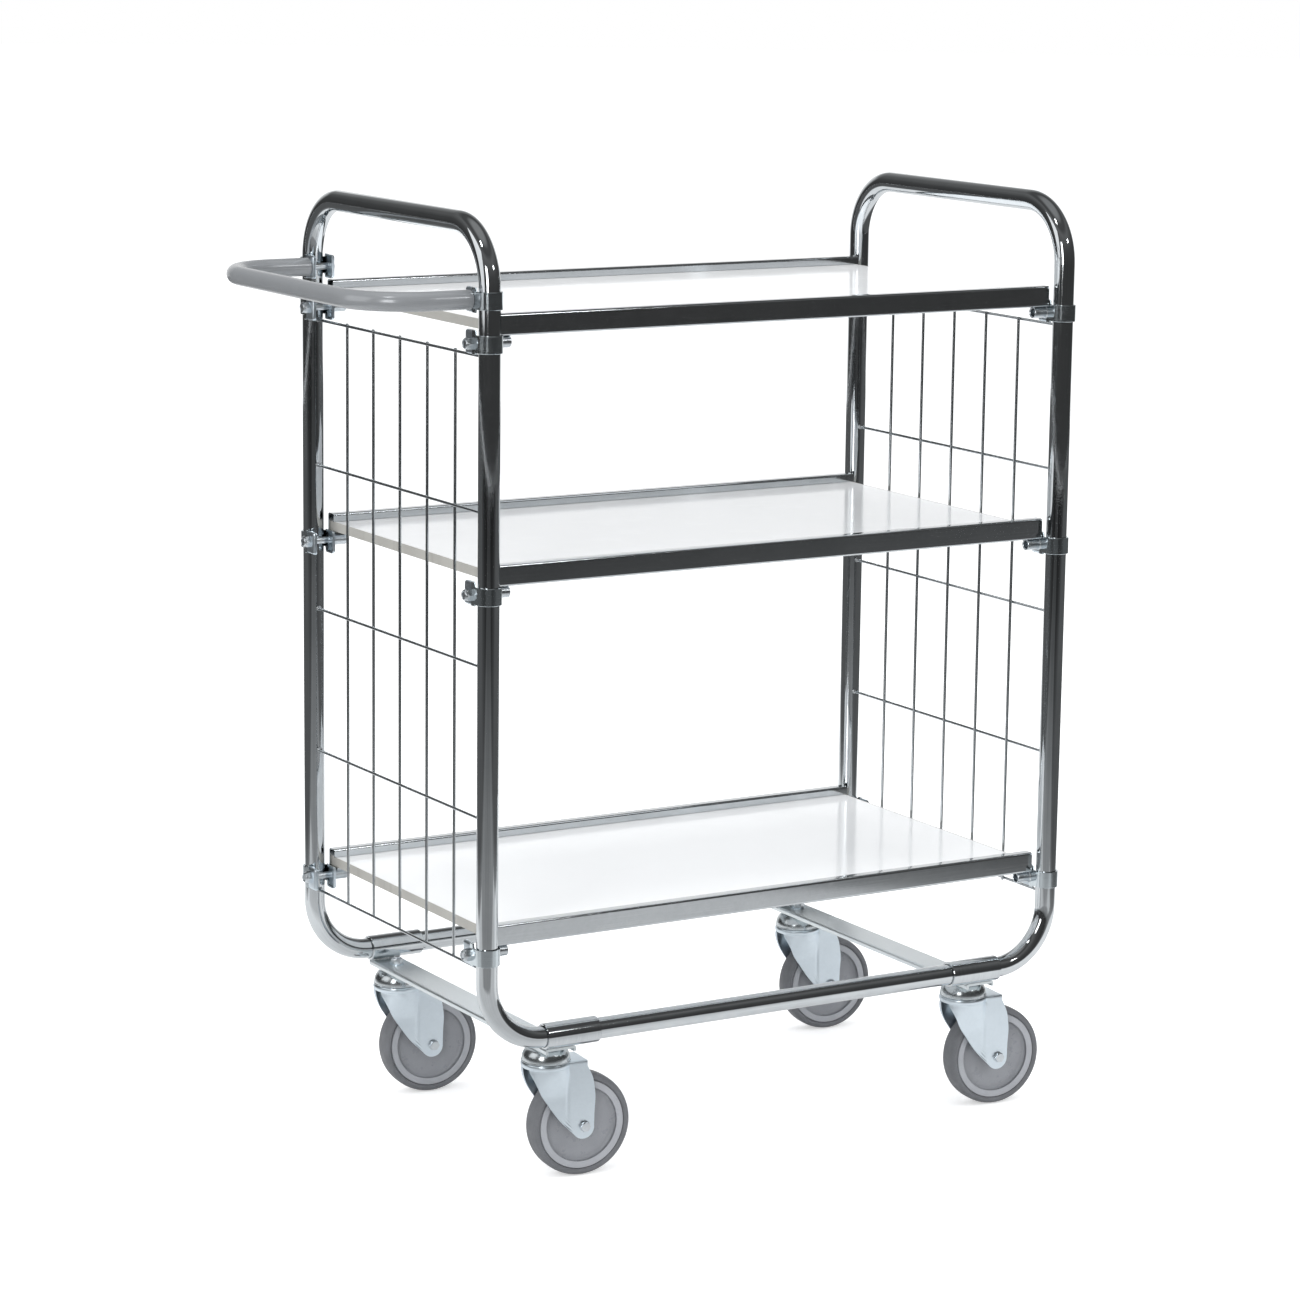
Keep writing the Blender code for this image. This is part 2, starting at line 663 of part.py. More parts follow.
def fork_rim():
    """Plan of the fork's folded edge on one side, from the front round to the rear."""
    race = FORK_RACE_RADIUS
    crease = math.pi - math.asin(FORK_HALF_WIDTH / race)
    turns = [math.radians(turn) for turn in FORK_RACE_TURN_DEGREES]
    rim = [(-race * math.cos(turn), race * math.sin(turn)) for turn in turns + [crease]]
    crease_x = -race * math.cos(crease)
    for share in FORK_PLATE_SHARES:
        rim.append((crease_x + (FORK_PLATE_REAR - crease_x) * share, FORK_HALF_WIDTH))
    return rim


def cheek_rows():
    """Rows of points (x, height) down a cheek, from under the fold to the eye's edge."""
    rim = fork_rim()
    top = FORK_TOP - FORK_SKIRT
    front_x = rim[0][0]
    rear_x = rim[-1][0]
    eye_front = math.radians(FORK_EYE_FRONT_DEGREES)
    eye_rear = math.radians(FORK_EYE_REAR_DEGREES)
    eye_turns = [eye_front + (eye_rear - eye_front) * share for share in EYE_TURN_SHARES]
    eye_x = CASTER_TRAIL - FORK_EYE_SHIFT
    eye_height = WHEEL_RADIUS - FORK_EYE_SHIFT
    eye = []
    for turn in eye_turns:
        x = eye_x + FORK_EYE_RADIUS * math.cos(turn)
        eye.append((x, eye_height + FORK_EYE_RADIUS * math.sin(turn)))
    front_end = Vector(eye[0])
    rear_end = Vector(eye[-1])

    def across(front, rear):
        shares = [(x - front_x) / (rear_x - front_x) for x, _ in rim]
        return [tuple(front.lerp(rear, share)) for share in shares]

    rows = []
    for (along, drop), bulge in zip(FRONT_EDGE_SHARES, REAR_BULGE_SHARES):
        front = Vector((
            front_x + (front_end.x - front_x) * along,
            top + (front_end.y - top) * drop,
        ))
        rear = Vector((rear_x + FORK_BULGE * bulge, top + (rear_end.y - top) * drop))
        rows.append(across(front, rear))
    rows += [across(front_end, rear_end), eye]
    return rows


def cheek_side(index, rim, height):
    """Half width of a cheek: the race's round form at the fold, flat further down."""
    top = FORK_TOP - FORK_SKIRT
    flat_from = top - (top - WHEEL_RADIUS) / 2
    share = max(0.0, min(1.0, (height - flat_from) / (top - flat_from)))
    return FORK_HALF_WIDTH + (rim[index][1] - FORK_HALF_WIDTH) * share


def fork_sheet():
    """The outer skin of the fork as an open surface, its faces turned outward."""
    rim = fork_rim()
    rows = cheek_rows()
    bm = bmesh.new()
    front_top = bm.verts.new((-FORK_RACE_RADIUS, 0, FORK_TOP))
    front_low = bm.verts.new((-FORK_RACE_RADIUS - FORK_LIP, 0, FORK_TOP - FORK_SKIRT))
    tops = {}
    lows = {}
    for side in (-1, 1):
        tops[side] = []
        lows[side] = []
        for index, (x, y) in enumerate(rim):
            tops[side].append(bm.verts.new((x, side * y, FORK_TOP)))
            lows[side].append(bm.verts.new((x, side * y, FORK_TOP - FORK_SKIRT)))
        chain_top = [front_top] + tops[side]
        chain_low = [front_low] + lows[side]
        add_strip(bm, chain_top, chain_low, side)
        above = lows[side]
        for row in rows[1:]:
            below = []
            for index, (x, height) in enumerate(row):
                half = cheek_side(index, rim, height)
                below.append(bm.verts.new((x, side * half, height)))
            add_strip(bm, above, below, side)
            above = below
    border = [front_top] + tops[1] + list(reversed(tops[-1]))
    step = math.tau / len(border)
    hole_radius = (KING_PIN_RADIUS + KING_PIN_PLAY) / math.cos(step / 2)
    hole = []
    for index in range(len(border)):
        angle = math.pi - index * step
        place = (hole_radius * math.cos(angle), hole_radius * math.sin(angle), FORK_TOP)
        hole.append(bm.verts.new(place))
    join_rings(bm, border, hole)
    return bm


def add_strip(bm, above, below, side):
    """Quads between two rows of one side, wound so that they face outward."""
    for index in range(len(above) - 1):
        loop = [above[index], below[index], below[index + 1], above[index + 1]]
        if side > 0:
            loop.reverse()
        bm.faces.new(loop)


def fork_mesh():
    """The skin thickened inward, with the axle's hole through both cheeks."""
    bm = fork_sheet()
    bmesh.ops.recalc_face_normals(bm, faces=bm.faces)
    plate = max(bm.faces, key=lambda face: face.calc_center_median().z)
    if plate.normal.z < 0:
        bmesh.ops.reverse_faces(bm, faces=bm.faces)
    mesh = bpy.data.meshes.new("fork")
    bm.to_mesh(mesh)
    bm.free()
    settings = {"thickness": FORK_SHEET, "offset": -1, "use_even_offset": True}
    solid = applied(mesh, [("SOLIDIFY", settings)])
    reach = FORK_HALF_WIDTH + FORK_SHEET
    drill = cylinder_profile(AXLE_RADIUS + GAP, -reach, reach)
    cutter = turned_mesh("axle_holes", drill, HEX_SIDES, axle_line())
    result = combined(solid, cutter, "DIFFERENCE")
    result.shade_smooth()
    result.set_sharp_from_angle(angle=math.radians(SHARP_ANGLE_DEGREES))
    return result


def axle_line():
    return frame_matrix(Vector((CASTER_TRAIL, 0, WHEEL_RADIUS)), Y_AXIS, Z_AXIS)


def axle_mesh():
    """Axle bolt drawn tight, its head outside one cheek and its nut outside the other."""
    seat = FORK_HALF_WIDTH + GAP
    head = seat + AXLE_HEAD_HEIGHT
    profile = [
        (0, -head), (AXLE_HEAD_RADIUS, -head), (AXLE_HEAD_RADIUS, -seat),
        (AXLE_RADIUS, -seat), (AXLE_RADIUS, seat), (AXLE_HEAD_RADIUS, seat),
        (AXLE_HEAD_RADIUS, head), (0, head),
    ]
    return turned_mesh("axle", profile, HEX_SIDES, axle_line())


def mirrored_ring(half_profile):
    """A ring's section from the half on one side of its middle plane."""
    far_half = [(radius, -height) for radius, height in reversed(half_profile)]
    return half_profile + far_half


def hub_mesh():
    """Wheel centre: boss, dished disc, rim. It is symmetric about its middle plane."""
    rim_outside = WHEEL_RADIUS - TYRE_DEPTH - GAP
    rim_inside = rim_outside - RIM_DEPTH
    dish = RIM_HALF_WIDTH - DISH_DEPTH
    boss_half = FORK_HALF_WIDTH - FORK_SHEET - GAP
    half = [
        (AXLE_RADIUS + AXLE_PLAY, boss_half), (HUB_BOSS_RADIUS, boss_half),
        (HUB_BOSS_RADIUS + HUB_BOSS_SLOPE, dish), (rim_inside - DISH_SLOPE, dish),
        (rim_inside, RIM_HALF_WIDTH), (rim_outside, RIM_HALF_WIDTH),
    ]
    profile = mirrored_ring(half)
    return turned_mesh("hub", profile, WHEEL_SIDES, axle_line(), ring=True)


def tyre_mesh():
    """Tyre with round shoulders."""
    seat = WHEEL_RADIUS - TYRE_DEPTH
    side = TYRE_HALF_WIDTH - TYRE_SIDE_DROP
    half = [
        (seat, side), (seat + TYRE_DEPTH * TYRE_WIDEST_SHARE, TYRE_HALF_WIDTH),
        (seat + TYRE_DEPTH * TYRE_SHOULDER_SHARE, side), (WHEEL_RADIUS, TREAD_HALF_WIDTH),
    ]
    profile = mirrored_ring(half)
    return turned_mesh("tyre", profile, WHEEL_SIDES, axle_line(), ring=True)


# Building the scene

def new_empty(name, location, parent, turn=0.0):
    empty = bpy.data.objects.new(name, None)
    bpy.context.scene.collection.objects.link(empty)
    empty.parent = parent
    empty.location = location
    empty.rotation_euler.z = turn
    return empty


def finish_material(name, finish):
    colour, roughness, metallic = FINISHES[finish]
    material = bpy.data.materials.new(name)
    material.use_nodes = True
    shader = material.node_tree.nodes["Principled BSDF"]
    shader.inputs["Base Color"].default_value = colour
    shader.inputs["Roughness"].default_value = roughness
    shader.inputs["Metallic"].default_value = metallic
    material.diffuse_color = colour
    return material


def new_piece(name, mesh, finish, parent, location=(0, 0, 0)):
    """A named piece on the scene, with a finish of its own."""
    piece = bpy.data.objects.new(name, mesh.copy())
    bpy.context.scene.collection.objects.link(piece)
    piece.data.materials.clear()
    piece.data.materials.append(finish_material(name, finish))
    piece.parent = parent
    piece.location = location
    return piece


def build_frame(root):
    for end, side_x in SIDES_X.items():
        new_piece(end + "_end_frame", end_frame(side_x), "bright_zinc", root)
        new_piece(end + "_crossbeam", crossbeam(side_x), "satin_zinc", root)
        new_piece(end + "_wire_panel", wire_panel(side_x), "wire_zinc", root)
        for face, side_y in SIDES_Y.items():
            name = face + "_" + end + "_sleeve"
            new_piece(name, sleeve(side_x, side_y), "bright_zinc", root)
    for face, side_y in SIDES_Y.items():
        new_piece(face + "_lower_rail", lower_rail(side_y), "bright_zinc", root)


def new_clamp(name, clamp, side_x, side_y, height, root):
    """A clamp turned inward at one post; a rear one is the front one upside down."""
    inward = Matrix.Diagonal((-side_x, -side_y, -side_y, 1))
    spot = (side_x * POST_X, side_y * POST_Y, height)
    new_piece(name, placed(clamp, inward), "satin_zinc", root, spot)


def build_shelves(root):
    clamp = shelf_clamp()
    for level, height in SHELF_LEVELS.items():
        new_piece(level + "_board", board(height), "white_laminate", root)
        for face, side_y in SIDES_Y.items():
            name = level + "_" + face + "_rail"
            new_piece(name, shelf_rail(height, side_y), "bright_zinc", root)
            for end, side_x in SIDES_X.items():
                name = level + "_" + face + "_" + end + "_clamp"
                new_clamp(name, clamp, side_x, side_y, height, root)


def build_handle(root):
    new_piece("handle_tube", handle_tube(), "grey_coating", root)
    clamp = handle_clamp()
    for face, side_y in SIDES_Y.items():
        name = face + "_handle_clamp"
        new_clamp(name, clamp, SIDES_X["left"], side_y, HANDLE_HEIGHT, root)


def build_casters(root):
    """Each fork hangs from an empty on its swivel axis, each wheel from one on its axle."""
    head = caster_head()
    nut = caster_nut()
    fork = fork_mesh()
    axle = axle_mesh()
    to_axle = Matrix.Translation((-CASTER_TRAIL, 0, -WHEEL_RADIUS))
    hub = placed(hub_mesh(), to_axle)
    tyre = placed(tyre_mesh(), to_axle)
    turn = math.radians(CASTER_TURN_DEGREES)
    for end, side_x in SIDES_X.items():
        for face, side_y in SIDES_Y.items():
            corner = face + "_" + end
            spot = (side_x * CASTER_X, side_y * CASTER_Y, 0)
            swivel = new_empty(corner + "_swivel_axis", spot, root, turn)
            axle_spot = (CASTER_TRAIL, 0, WHEEL_RADIUS)
            spin = new_empty(corner + "_axle_axis", axle_spot, swivel)
            new_piece(corner + "_caster_head", head, "bright_zinc", root, spot)
            new_piece(corner + "_caster_nut", nut, "satin_zinc", root, spot)
            new_piece(corner + "_fork", fork, "satin_zinc", swivel)
            new_piece(corner + "_axle", axle, "satin_zinc", swivel)
            new_piece(corner + "_hub", hub, "grey_plastic", spin)
            new_piece(corner + "_tyre", tyre, "grey_rubber", spin)


def main():
    for old in list(bpy.data.objects):
        bpy.data.objects.remove(old)
    root = new_empty("trolley", (-BOX_MIDDLE_X, 0, 0), None)
    build_frame(root)
    build_shelves(root)
    build_handle(root)
    build_casters(root)


main()
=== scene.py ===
# %% [markdown]
# # Dressing a shelf trolley
#
# The real trolley is bright zinc-plated tube and folded sheet, with three white boards, a
# grey handle and four swivel casters. Its sizes are settled before this script starts:
# measured solids are loaded first, and every piece made here sits exactly where they are.
# Most solids are then replaced by finer ones, because plating shows each facet and edge.

# %% Load the measured solids
import math

import bmesh
import bpy
from mathutils import Matrix, Vector


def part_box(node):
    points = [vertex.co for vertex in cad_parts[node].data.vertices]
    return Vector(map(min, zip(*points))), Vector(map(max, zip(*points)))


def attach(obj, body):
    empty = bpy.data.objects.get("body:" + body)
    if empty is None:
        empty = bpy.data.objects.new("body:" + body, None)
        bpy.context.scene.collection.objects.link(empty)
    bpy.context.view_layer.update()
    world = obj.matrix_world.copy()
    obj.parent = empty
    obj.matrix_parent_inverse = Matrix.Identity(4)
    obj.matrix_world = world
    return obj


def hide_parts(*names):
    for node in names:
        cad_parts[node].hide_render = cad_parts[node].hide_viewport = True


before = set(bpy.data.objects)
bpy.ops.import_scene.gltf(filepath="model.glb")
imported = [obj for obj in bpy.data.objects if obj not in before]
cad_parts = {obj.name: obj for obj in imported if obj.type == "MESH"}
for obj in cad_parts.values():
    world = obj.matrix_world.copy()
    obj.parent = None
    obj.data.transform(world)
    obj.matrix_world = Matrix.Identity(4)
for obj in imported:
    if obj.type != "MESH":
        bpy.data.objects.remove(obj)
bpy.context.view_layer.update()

# %% [markdown]
# Both ends of the trolley are one bent tube: foot, post, hoop, post, foot. The posts are
# what everything else hangs on, so their places come first. The middle of the frame isn't
# the middle of the box, because the handle sticks out, but the boards show where it is.

# %% Places of the posts
TUBE_RADIUS = 0.0125
POST_X = 0.3916
POST_Y = 0.2223
FOOT_HEIGHT = 0.1812
HOOP_HEIGHT = 1.1151

board_low, board_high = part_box("top_board")
middle = Vector(((board_low[0] + board_high[0]) / 2, 0, 0))
SIDES_X = {"left": -1, "right": 1}
SIDES_Y = {"front": -1, "rear": 1}
CORNERS = [
    (f"{face}_{end}", side_x, side_y)
    for end, side_x in SIDES_X.items() for face, side_y in SIDES_Y.items()
]
X_AXIS = Vector((1, 0, 0))
Y_AXIS = Vector((0, 1, 0))
Z_AXIS = Vector((0, 0, 1))
print("middle of the frame at x =", round(middle.x, 4))

# %% [markdown]
# A product photograph like this one is taken with a long lens from a few metres away, so
# the trolley hardly narrows toward its far end. The camera stands in front of the left
# corner, a little above the top shelf, and looks slightly down.

# %% Camera
CAMERA_PLACE = Vector((-2.46315, -4.15597, 1.5022))
CAMERA_FORWARD = Vector((0.5027, 0.8436, -0.18866)).normalized()
CAMERA_RIGHT = Vector((0.8602, -0.5099, 0.01188)).normalized()
LENS_MM = 112.49
SENSOR_MM = 36.0
CAMERA_SEES = 100


def new_object(name, data):
    item = bpy.data.objects.new(name, data)
    bpy.context.scene.collection.objects.link(item)
    return item


def aimed(place, forward, right):
    """A placing that looks along one direction with another to its right."""
    up = right.cross(forward).normalized()
    turn = Matrix((forward.cross(up), up, -forward)).transposed()
    return Matrix.Translation(place) @ turn.to_4x4()


camera_data = bpy.data.cameras.new("camera")
camera_data.lens = LENS_MM
camera_data.sensor_width = SENSOR_MM
camera_data.clip_end = CAMERA_SEES
camera = new_object("camera", camera_data)
camera.matrix_world = aimed(CAMERA_PLACE, CAMERA_FORWARD, CAMERA_RIGHT)
bpy.context.scene.camera = camera
bpy.context.scene.view_settings.view_transform = "Standard"
print("camera", round((CAMERA_PLACE - middle).length, 2), "m away")

# %% [markdown]
# Nodes do all the colouring here. A few small helpers keep their code readable: they add a
# node, set its sockets by name, blend two values, and spread a value over a colour ramp.

# %% Helpers for nodes
COLOUR_A, COLOUR_B, COLOUR_OUT = 6, 7, 2


def add_node(tree, kind, **sockets):
    """Add a node and set its sockets; a value that is itself a socket is linked."""
    node = tree.nodes.new(kind)
    for name, value in sockets.items():
        connect(tree, value, node.inputs[name.replace("_", " ")])
    return node


def connect(tree, value, socket):
    if isinstance(value, bpy.types.NodeSocket):
        tree.links.new(value, socket)
    else:
        socket.default_value = value


def add_maths(tree, operation, first, second=0.0):
    node = tree.nodes.new("ShaderNodeMath")
    node.operation = operation
    connect(tree, first, node.inputs[0])
    connect(tree, second, node.inputs[1])
    return node.outputs[0]


def blended(tree, first, second, share):
    """A share of the first value and the rest of the second."""
    total = add_maths(tree, "MULTIPLY_ADD", first, share)
    connect(tree, add_maths(tree, "MULTIPLY", second, 1 - share), total.node.inputs[2])
    return total


def add_ramp(tree, factor, stops):
    """Colour ramp from a list of (place, grey value)."""
    node = tree.nodes.new("ShaderNodeValToRGB")
    connect(tree, factor, node.inputs["Fac"])
    points = node.color_ramp.elements
    while len(points) < len(stops):
        points.new(0.5)
    for point, (place, grey) in zip(points, stops):
        point.position = place
        point.color = (grey, grey, grey, 1)
    return node.outputs["Color"]


def mixed_colour(tree, factor, first, second):
    """Mix of two colours, each a tuple or a socket."""
    node = tree.nodes.new("ShaderNodeMix")
    node.data_type = "RGBA"
    connect(tree, factor, node.inputs["Factor"])
    for colour, socket in ((first, COLOUR_A), (second, COLOUR_B)):
        connect(tree, (*colour, 1) if isinstance(colour, tuple) else colour, node.inputs[socket])
    return node.outputs[COLOUR_OUT]


def mixed_shader(tree, factor, first, second):
    node = tree.nodes.new("ShaderNodeMixShader")
    sources = (factor, first.outputs[0], second.outputs[0])
    for source, socket in zip(sources, node.inputs):
        tree.links.new(source, socket)
    return node.outputs[0]


def object_place(tree):
    return tree.nodes.new("ShaderNodeTexCoord").outputs["Object"]


# %% [markdown]
# The set is a pale floor in soft studio light. The floor and the backdrop look white to
# the camera and in the plating, and only the floor's own shading keeps the soft shadow
# under the wheels. Strength 1 is white, and none of it is thrown on the object.

# %% Floor and backdrop
WHITE = (1, 1, 1, 1)
AMBIENT_COLOUR = (0.96, 0.98, 1.0, 1)
AMBIENT_STRENGTH = 0.95
FLOOR_PAINT = (0.80, 0.80, 0.80, 1)
FLOOR_GLOW = 0.46
FLOOR_RADIUS = 30.0
DISC_SIDES = 96


def cleared(tree, kind="ShaderNodeOutputMaterial"):
    """Empty the tree, add an output node and return its surface socket."""
    tree.nodes.clear()
    return tree.nodes.new(kind).inputs["Surface"]


def stage_finish(name):
    """A material with only an output: the finish, its tree and the surface socket."""
    finish = bpy.data.materials.new(name)
    finish.use_nodes = True
    return finish, finish.node_tree, cleared(finish.node_tree)


def seen_directly(tree):
    """1 for rays that come from the camera, from gloss or through glass, else 0."""
    path = tree.nodes.new("ShaderNodeLightPath")
    camera_or_gloss = add_maths(
        tree, "MAXIMUM", path.outputs["Is Camera Ray"], path.outputs["Is Glossy Ray"]
    )
    return add_maths(tree, "MAXIMUM", camera_or_gloss, path.outputs["Is Transmission Ray"])


def mesh_from(bm, name):
    mesh = bpy.data.meshes.new(name)
    bm.to_mesh(mesh)
    bm.free()
    return mesh


def add_stage(name, mesh, finish):
    item = new_object(name, mesh)
    item.data.materials.append(finish)
    return item


def disc_mesh(name, radius, height=0.0):
    bm = bmesh.new()
    bmesh.ops.create_circle(bm, cap_ends=True, segments=DISC_SIDES, radius=radius)
    bmesh.ops.translate(bm, verts=bm.verts, vec=(middle.x, 0, height))
    return mesh_from(bm, name)


world = bpy.data.worlds.new("studio")
bpy.context.scene.world = world
world.use_nodes = True
tree = world.node_tree
surface = cleared(tree, "ShaderNodeOutputWorld")
ambient = add_node(tree, "ShaderNodeBackground", Color=AMBIENT_COLOUR, Strength=AMBIENT_STRENGTH)
white = add_node(tree, "ShaderNodeBackground", Color=WHITE, Strength=1.0)
tree.links.new(mixed_shader(tree, seen_directly(tree), ambient, white), surface)

floor_paint, tree, surface = stage_finish("pale_floor")
matt = add_node(tree, "ShaderNodeBsdfDiffuse", Color=FLOOR_PAINT)
glow_strength = add_maths(tree, "MULTIPLY", seen_directly(tree), FLOOR_GLOW)
glow = add_node(tree, "ShaderNodeEmission", Color=WHITE, Strength=glow_strength)
both = tree.nodes.new("ShaderNodeAddShader")
tree.links.new(matt.outputs[0], both.inputs[0])
tree.links.new(glow.outputs[0], both.inputs[1])
tree.links.new(both.outputs[0], surface)
add_stage("floor", disc_mesh("floor", FLOOR_RADIUS), floor_paint)
print("floor radius", FLOOR_RADIUS)

# %% [markdown]
# Plating is a mirror, so it looks like the room. The real studio was dark beyond a sheet of
# white paper: the posts are graphite grey where they mirror the far floor, and light where
# they mirror the paper. Two glowing things that only reflections see paint that room in: a
# painted reflection of the dark floor, clear where the paper lies, and a dim shell, a painted
# reflection of the walls, whose rear wall is light. Their tables hold shares of the way from
# the middle and, for each, how much of the floor is covered or how light that painted reflection is.

# %% A painted reflection of the dark floor
PAINTED_FLOOR_REFLECTION_RADIUS = 6.9
PAINTED_FLOOR_REFLECTION_HEIGHT = 0.002
PAINTED_FLOOR_REFLECTION_COLOUR = (0.98, 0.99, 1.0, 1)
TO_CAMERA = Vector((-0.512, -0.859, 0))
TO_RIGHT = Vector((0.859, -0.512, 0))
CAMERA_COVER_SHARES = [(0.04, 0.48), (0.08, 0.74), (0.138, 0.76), (0.158, 1.0)]
SIDE_COVER_SHARES = [(0.170, 0.0), (0.195, 1.0)]
CAMERA_TONE_SHARES = [
    (0.17, 0.33), (0.23, 0.30), (0.28, 0.25), (0.35, 0.20), (0.52, 0.10), (0.74, 0.058),
]
SIDE_TONE_SHARES = [(0.18, 1.0), (0.24, 0.35)]


def distance_along(tree, place, direction, whole):
    """How far a place lies along a direction, as a share of a whole length."""
    node = tree.nodes.new("ShaderNodeVectorMath")
    node.operation = "DOT_PRODUCT"
    tree.links.new(place, node.inputs[0])
    node.inputs[1].default_value = direction / whole
    return node.outputs["Value"]


def only_in_reflections(item):
    for ray in ("camera", "diffuse", "shadow", "transmission", "volume_scatter"):
        setattr(item, "visible_" + ray, False)


def painted_floor_reflection_finish():
    finish, tree, surface = stage_finish("painted_floor_reflection")
    place = object_place(tree)
    toward = distance_along(tree, place, TO_CAMERA, PAINTED_FLOOR_REFLECTION_RADIUS)
    aside = add_maths(tree, "ABSOLUTE", distance_along(tree, place, TO_RIGHT, PAINTED_FLOOR_REFLECTION_RADIUS))
    covers = (add_ramp(tree, toward, CAMERA_COVER_SHARES), add_ramp(tree, aside, SIDE_COVER_SHARES))
    tones = (add_ramp(tree, toward, CAMERA_TONE_SHARES), add_ramp(tree, aside, SIDE_TONE_SHARES))
    clear = tree.nodes.new("ShaderNodeBsdfTransparent")
    tone = add_maths(tree, "MULTIPLY", *tones)
    # Painted reflection: a dim glow that only gloss sees paints the dark floor into the plating, darker
    # the farther it lies toward the camera or to the sides.
    dark = add_node(tree, "ShaderNodeEmission", Color=PAINTED_FLOOR_REFLECTION_COLOUR, Strength=tone)
    cover = add_maths(tree, "MAXIMUM", *covers)
    tree.links.new(mixed_shader(tree, cover, clear, dark), surface)
    return finish


painted_floor_reflection_disc = disc_mesh("painted_floor_reflection", PAINTED_FLOOR_REFLECTION_RADIUS, PAINTED_FLOOR_REFLECTION_HEIGHT)
only_in_reflections(add_stage("painted_floor_reflection", painted_floor_reflection_disc, painted_floor_reflection_finish()))
print("cloth radius", PAINTED_FLOOR_REFLECTION_RADIUS)

# %% [markdown]
# The shell is a sphere that glows with a painted reflection of the walls: two gradients from
# its foot to its crown, one for the wall on the camera's side and one for the wall behind the
# trolley. Its tables hold shares of its height and the grey there, and the last one where the
# rear wall takes over.

# %% A dim glowing shell, a painted reflection of the walls
SHELL_RADIUS = 7.0
SHELL_SEGMENTS = 48
SHELL_RINGS = 24
FRONT_WALL_REFLECTION_SHARES = [
    (0.0, 0.05), (0.54, 0.05), (0.70, 0.07), (0.85, 0.15), (0.90, 0.08), (0.94, 0.09), (0.98, 0.28),
]
REAR_WALL_REFLECTION_SHARES = [(0.0, 0.10), (0.50, 0.92), (0.715, 0.90), (0.75, 0.36), (0.97, 0.30)]
REAR_FADE_SHARES = [(0.62, 0.0), (0.86, 1.0)]


def painted_room_reflection_finish():
    finish, tree, surface = stage_finish("painted_room_reflection")
    place = object_place(tree)
    from_middle = distance_along(tree, place, Z_AXIS, 2 * SHELL_RADIUS)
    height = add_maths(tree, "ADD", from_middle, 0.5)
    behind = distance_along(tree, place, -TO_CAMERA, SHELL_RADIUS)
    walls = mixed_colour(
        tree, add_ramp(tree, behind, REAR_FADE_SHARES),
        add_ramp(tree, height, FRONT_WALL_REFLECTION_SHARES), add_ramp(tree, height, REAR_WALL_REFLECTION_SHARES),
    )
    # Painted reflection: the shell glows with these greys and only gloss sees it, so it paints dim walls
    # and a light rear wall into the plating.
    light = add_node(tree, "ShaderNodeEmission", Color=walls, Strength=1.0)
    tree.links.new(light.outputs[0], surface)
    return finish


bm = bmesh.new()
bmesh.ops.create_uvsphere(bm, u_segments=SHELL_SEGMENTS, v_segments=SHELL_RINGS, radius=SHELL_RADIUS)
shell_mesh = mesh_from(bm, "painted_room_reflection")
shell_mesh.shade_smooth()
only_in_reflections(add_stage("painted_room_reflection", shell_mesh, painted_room_reflection_finish()))
print("shell radius", SHELL_RADIUS)

# %% [markdown]
# The lamps are soft boxes: a wide one overhead for the boards, two at the left that draw
# the white streaks on the bends and caster domes, a weak fill at the right, and two small
# ones for the bright spots on the bends. Gloss doesn't show the overhead box and the fill,
# because they would draw white bands there.

# %% Lamps
LAMPS = {
    "overhead_box": {"place": (0.1, 0.2, 4.2), "size": (2.6, 2.6), "watts": 80, "in_gloss": False},
    "streak_box": {"place": (-2.68, -2.20, 1.62), "size": (0.9, 1.7), "watts": 26, "in_gloss": True},
    "side_box": {"place": (-2.40, 0.30, 1.60), "size": (1.7, 1.8), "watts": 10, "in_gloss": True},
    "fill_box": {"place": (3.2, -2.6, 2.0), "size": (1.6, 1.6), "watts": 18, "in_gloss": False},
    "front_spark": {"place": (1.6, -3.2, 2.9), "size": (0.5, 0.35), "watts": 8, "in_gloss": True},
    "top_spark": {"place": (-1.9, -1.1, 4.0), "size": (0.45, 0.45), "watts": 9, "in_gloss": True},
}
NEARLY_OVERHEAD = 0.1


def add_softbox(name, place, size, watts, in_gloss):
    """A soft box that points at the middle of the trolley."""
    lamp = bpy.data.lights.new(name, "AREA")
    lamp.shape = "RECTANGLE"
    lamp.size, lamp.size_y = size
    lamp.energy = watts
    box = new_object(name, lamp)
    aim = (middle + Z_AXIS * HOOP_HEIGHT / 2 - Vector(place)).normalized()
    right = aim.cross(Z_AXIS)
    if right.length < NEARLY_OVERHEAD:
        right = X_AXIS
    box.matrix_world = aimed(Vector(place), aim, right.normalized())
    box.visible_glossy = in_gloss


for name, lamp in LAMPS.items():
    add_softbox(name, **lamp)
print("lamps:", list(LAMPS))

# %% [markdown]
# Every zinc surface here is the same plating in a different state. Drawn tube mirrors
# sharply but keeps faint lines along its length, pressed sheet is satin with a cool tint,
# and wire is duller. One recipe makes them all: lines that follow the piece's own length,
# clouds where the plating bath worked unevenly, and rubbed spots that are less smooth.

# %% Zinc plating
LINE_TONE_SHARE = 0.55
LINE_GLOSS_SHARE = 0.45
LINES_PER_METRE = (1400, 9, 1)
LINE_DEPTH = 0.00012
CRYSTALS_PER_METRE = 260.0
ZINC_TONE_SHARES = ((0.30, 0.0), (0.70, 1.0))
SKIN_DEPTH = 0.0002


def add_noise(tree, place, scale, detail=2.0, roughness=0.5):
    node = add_node(
        tree, "ShaderNodeTexNoise", Vector=place, Scale=scale, Detail=detail, Roughness=roughness
    )
    return node.outputs["Fac"]


def stretched(tree, source, scale):
    return add_node(tree, "ShaderNodeMapping", Vector=source, Scale=scale).outputs[0]


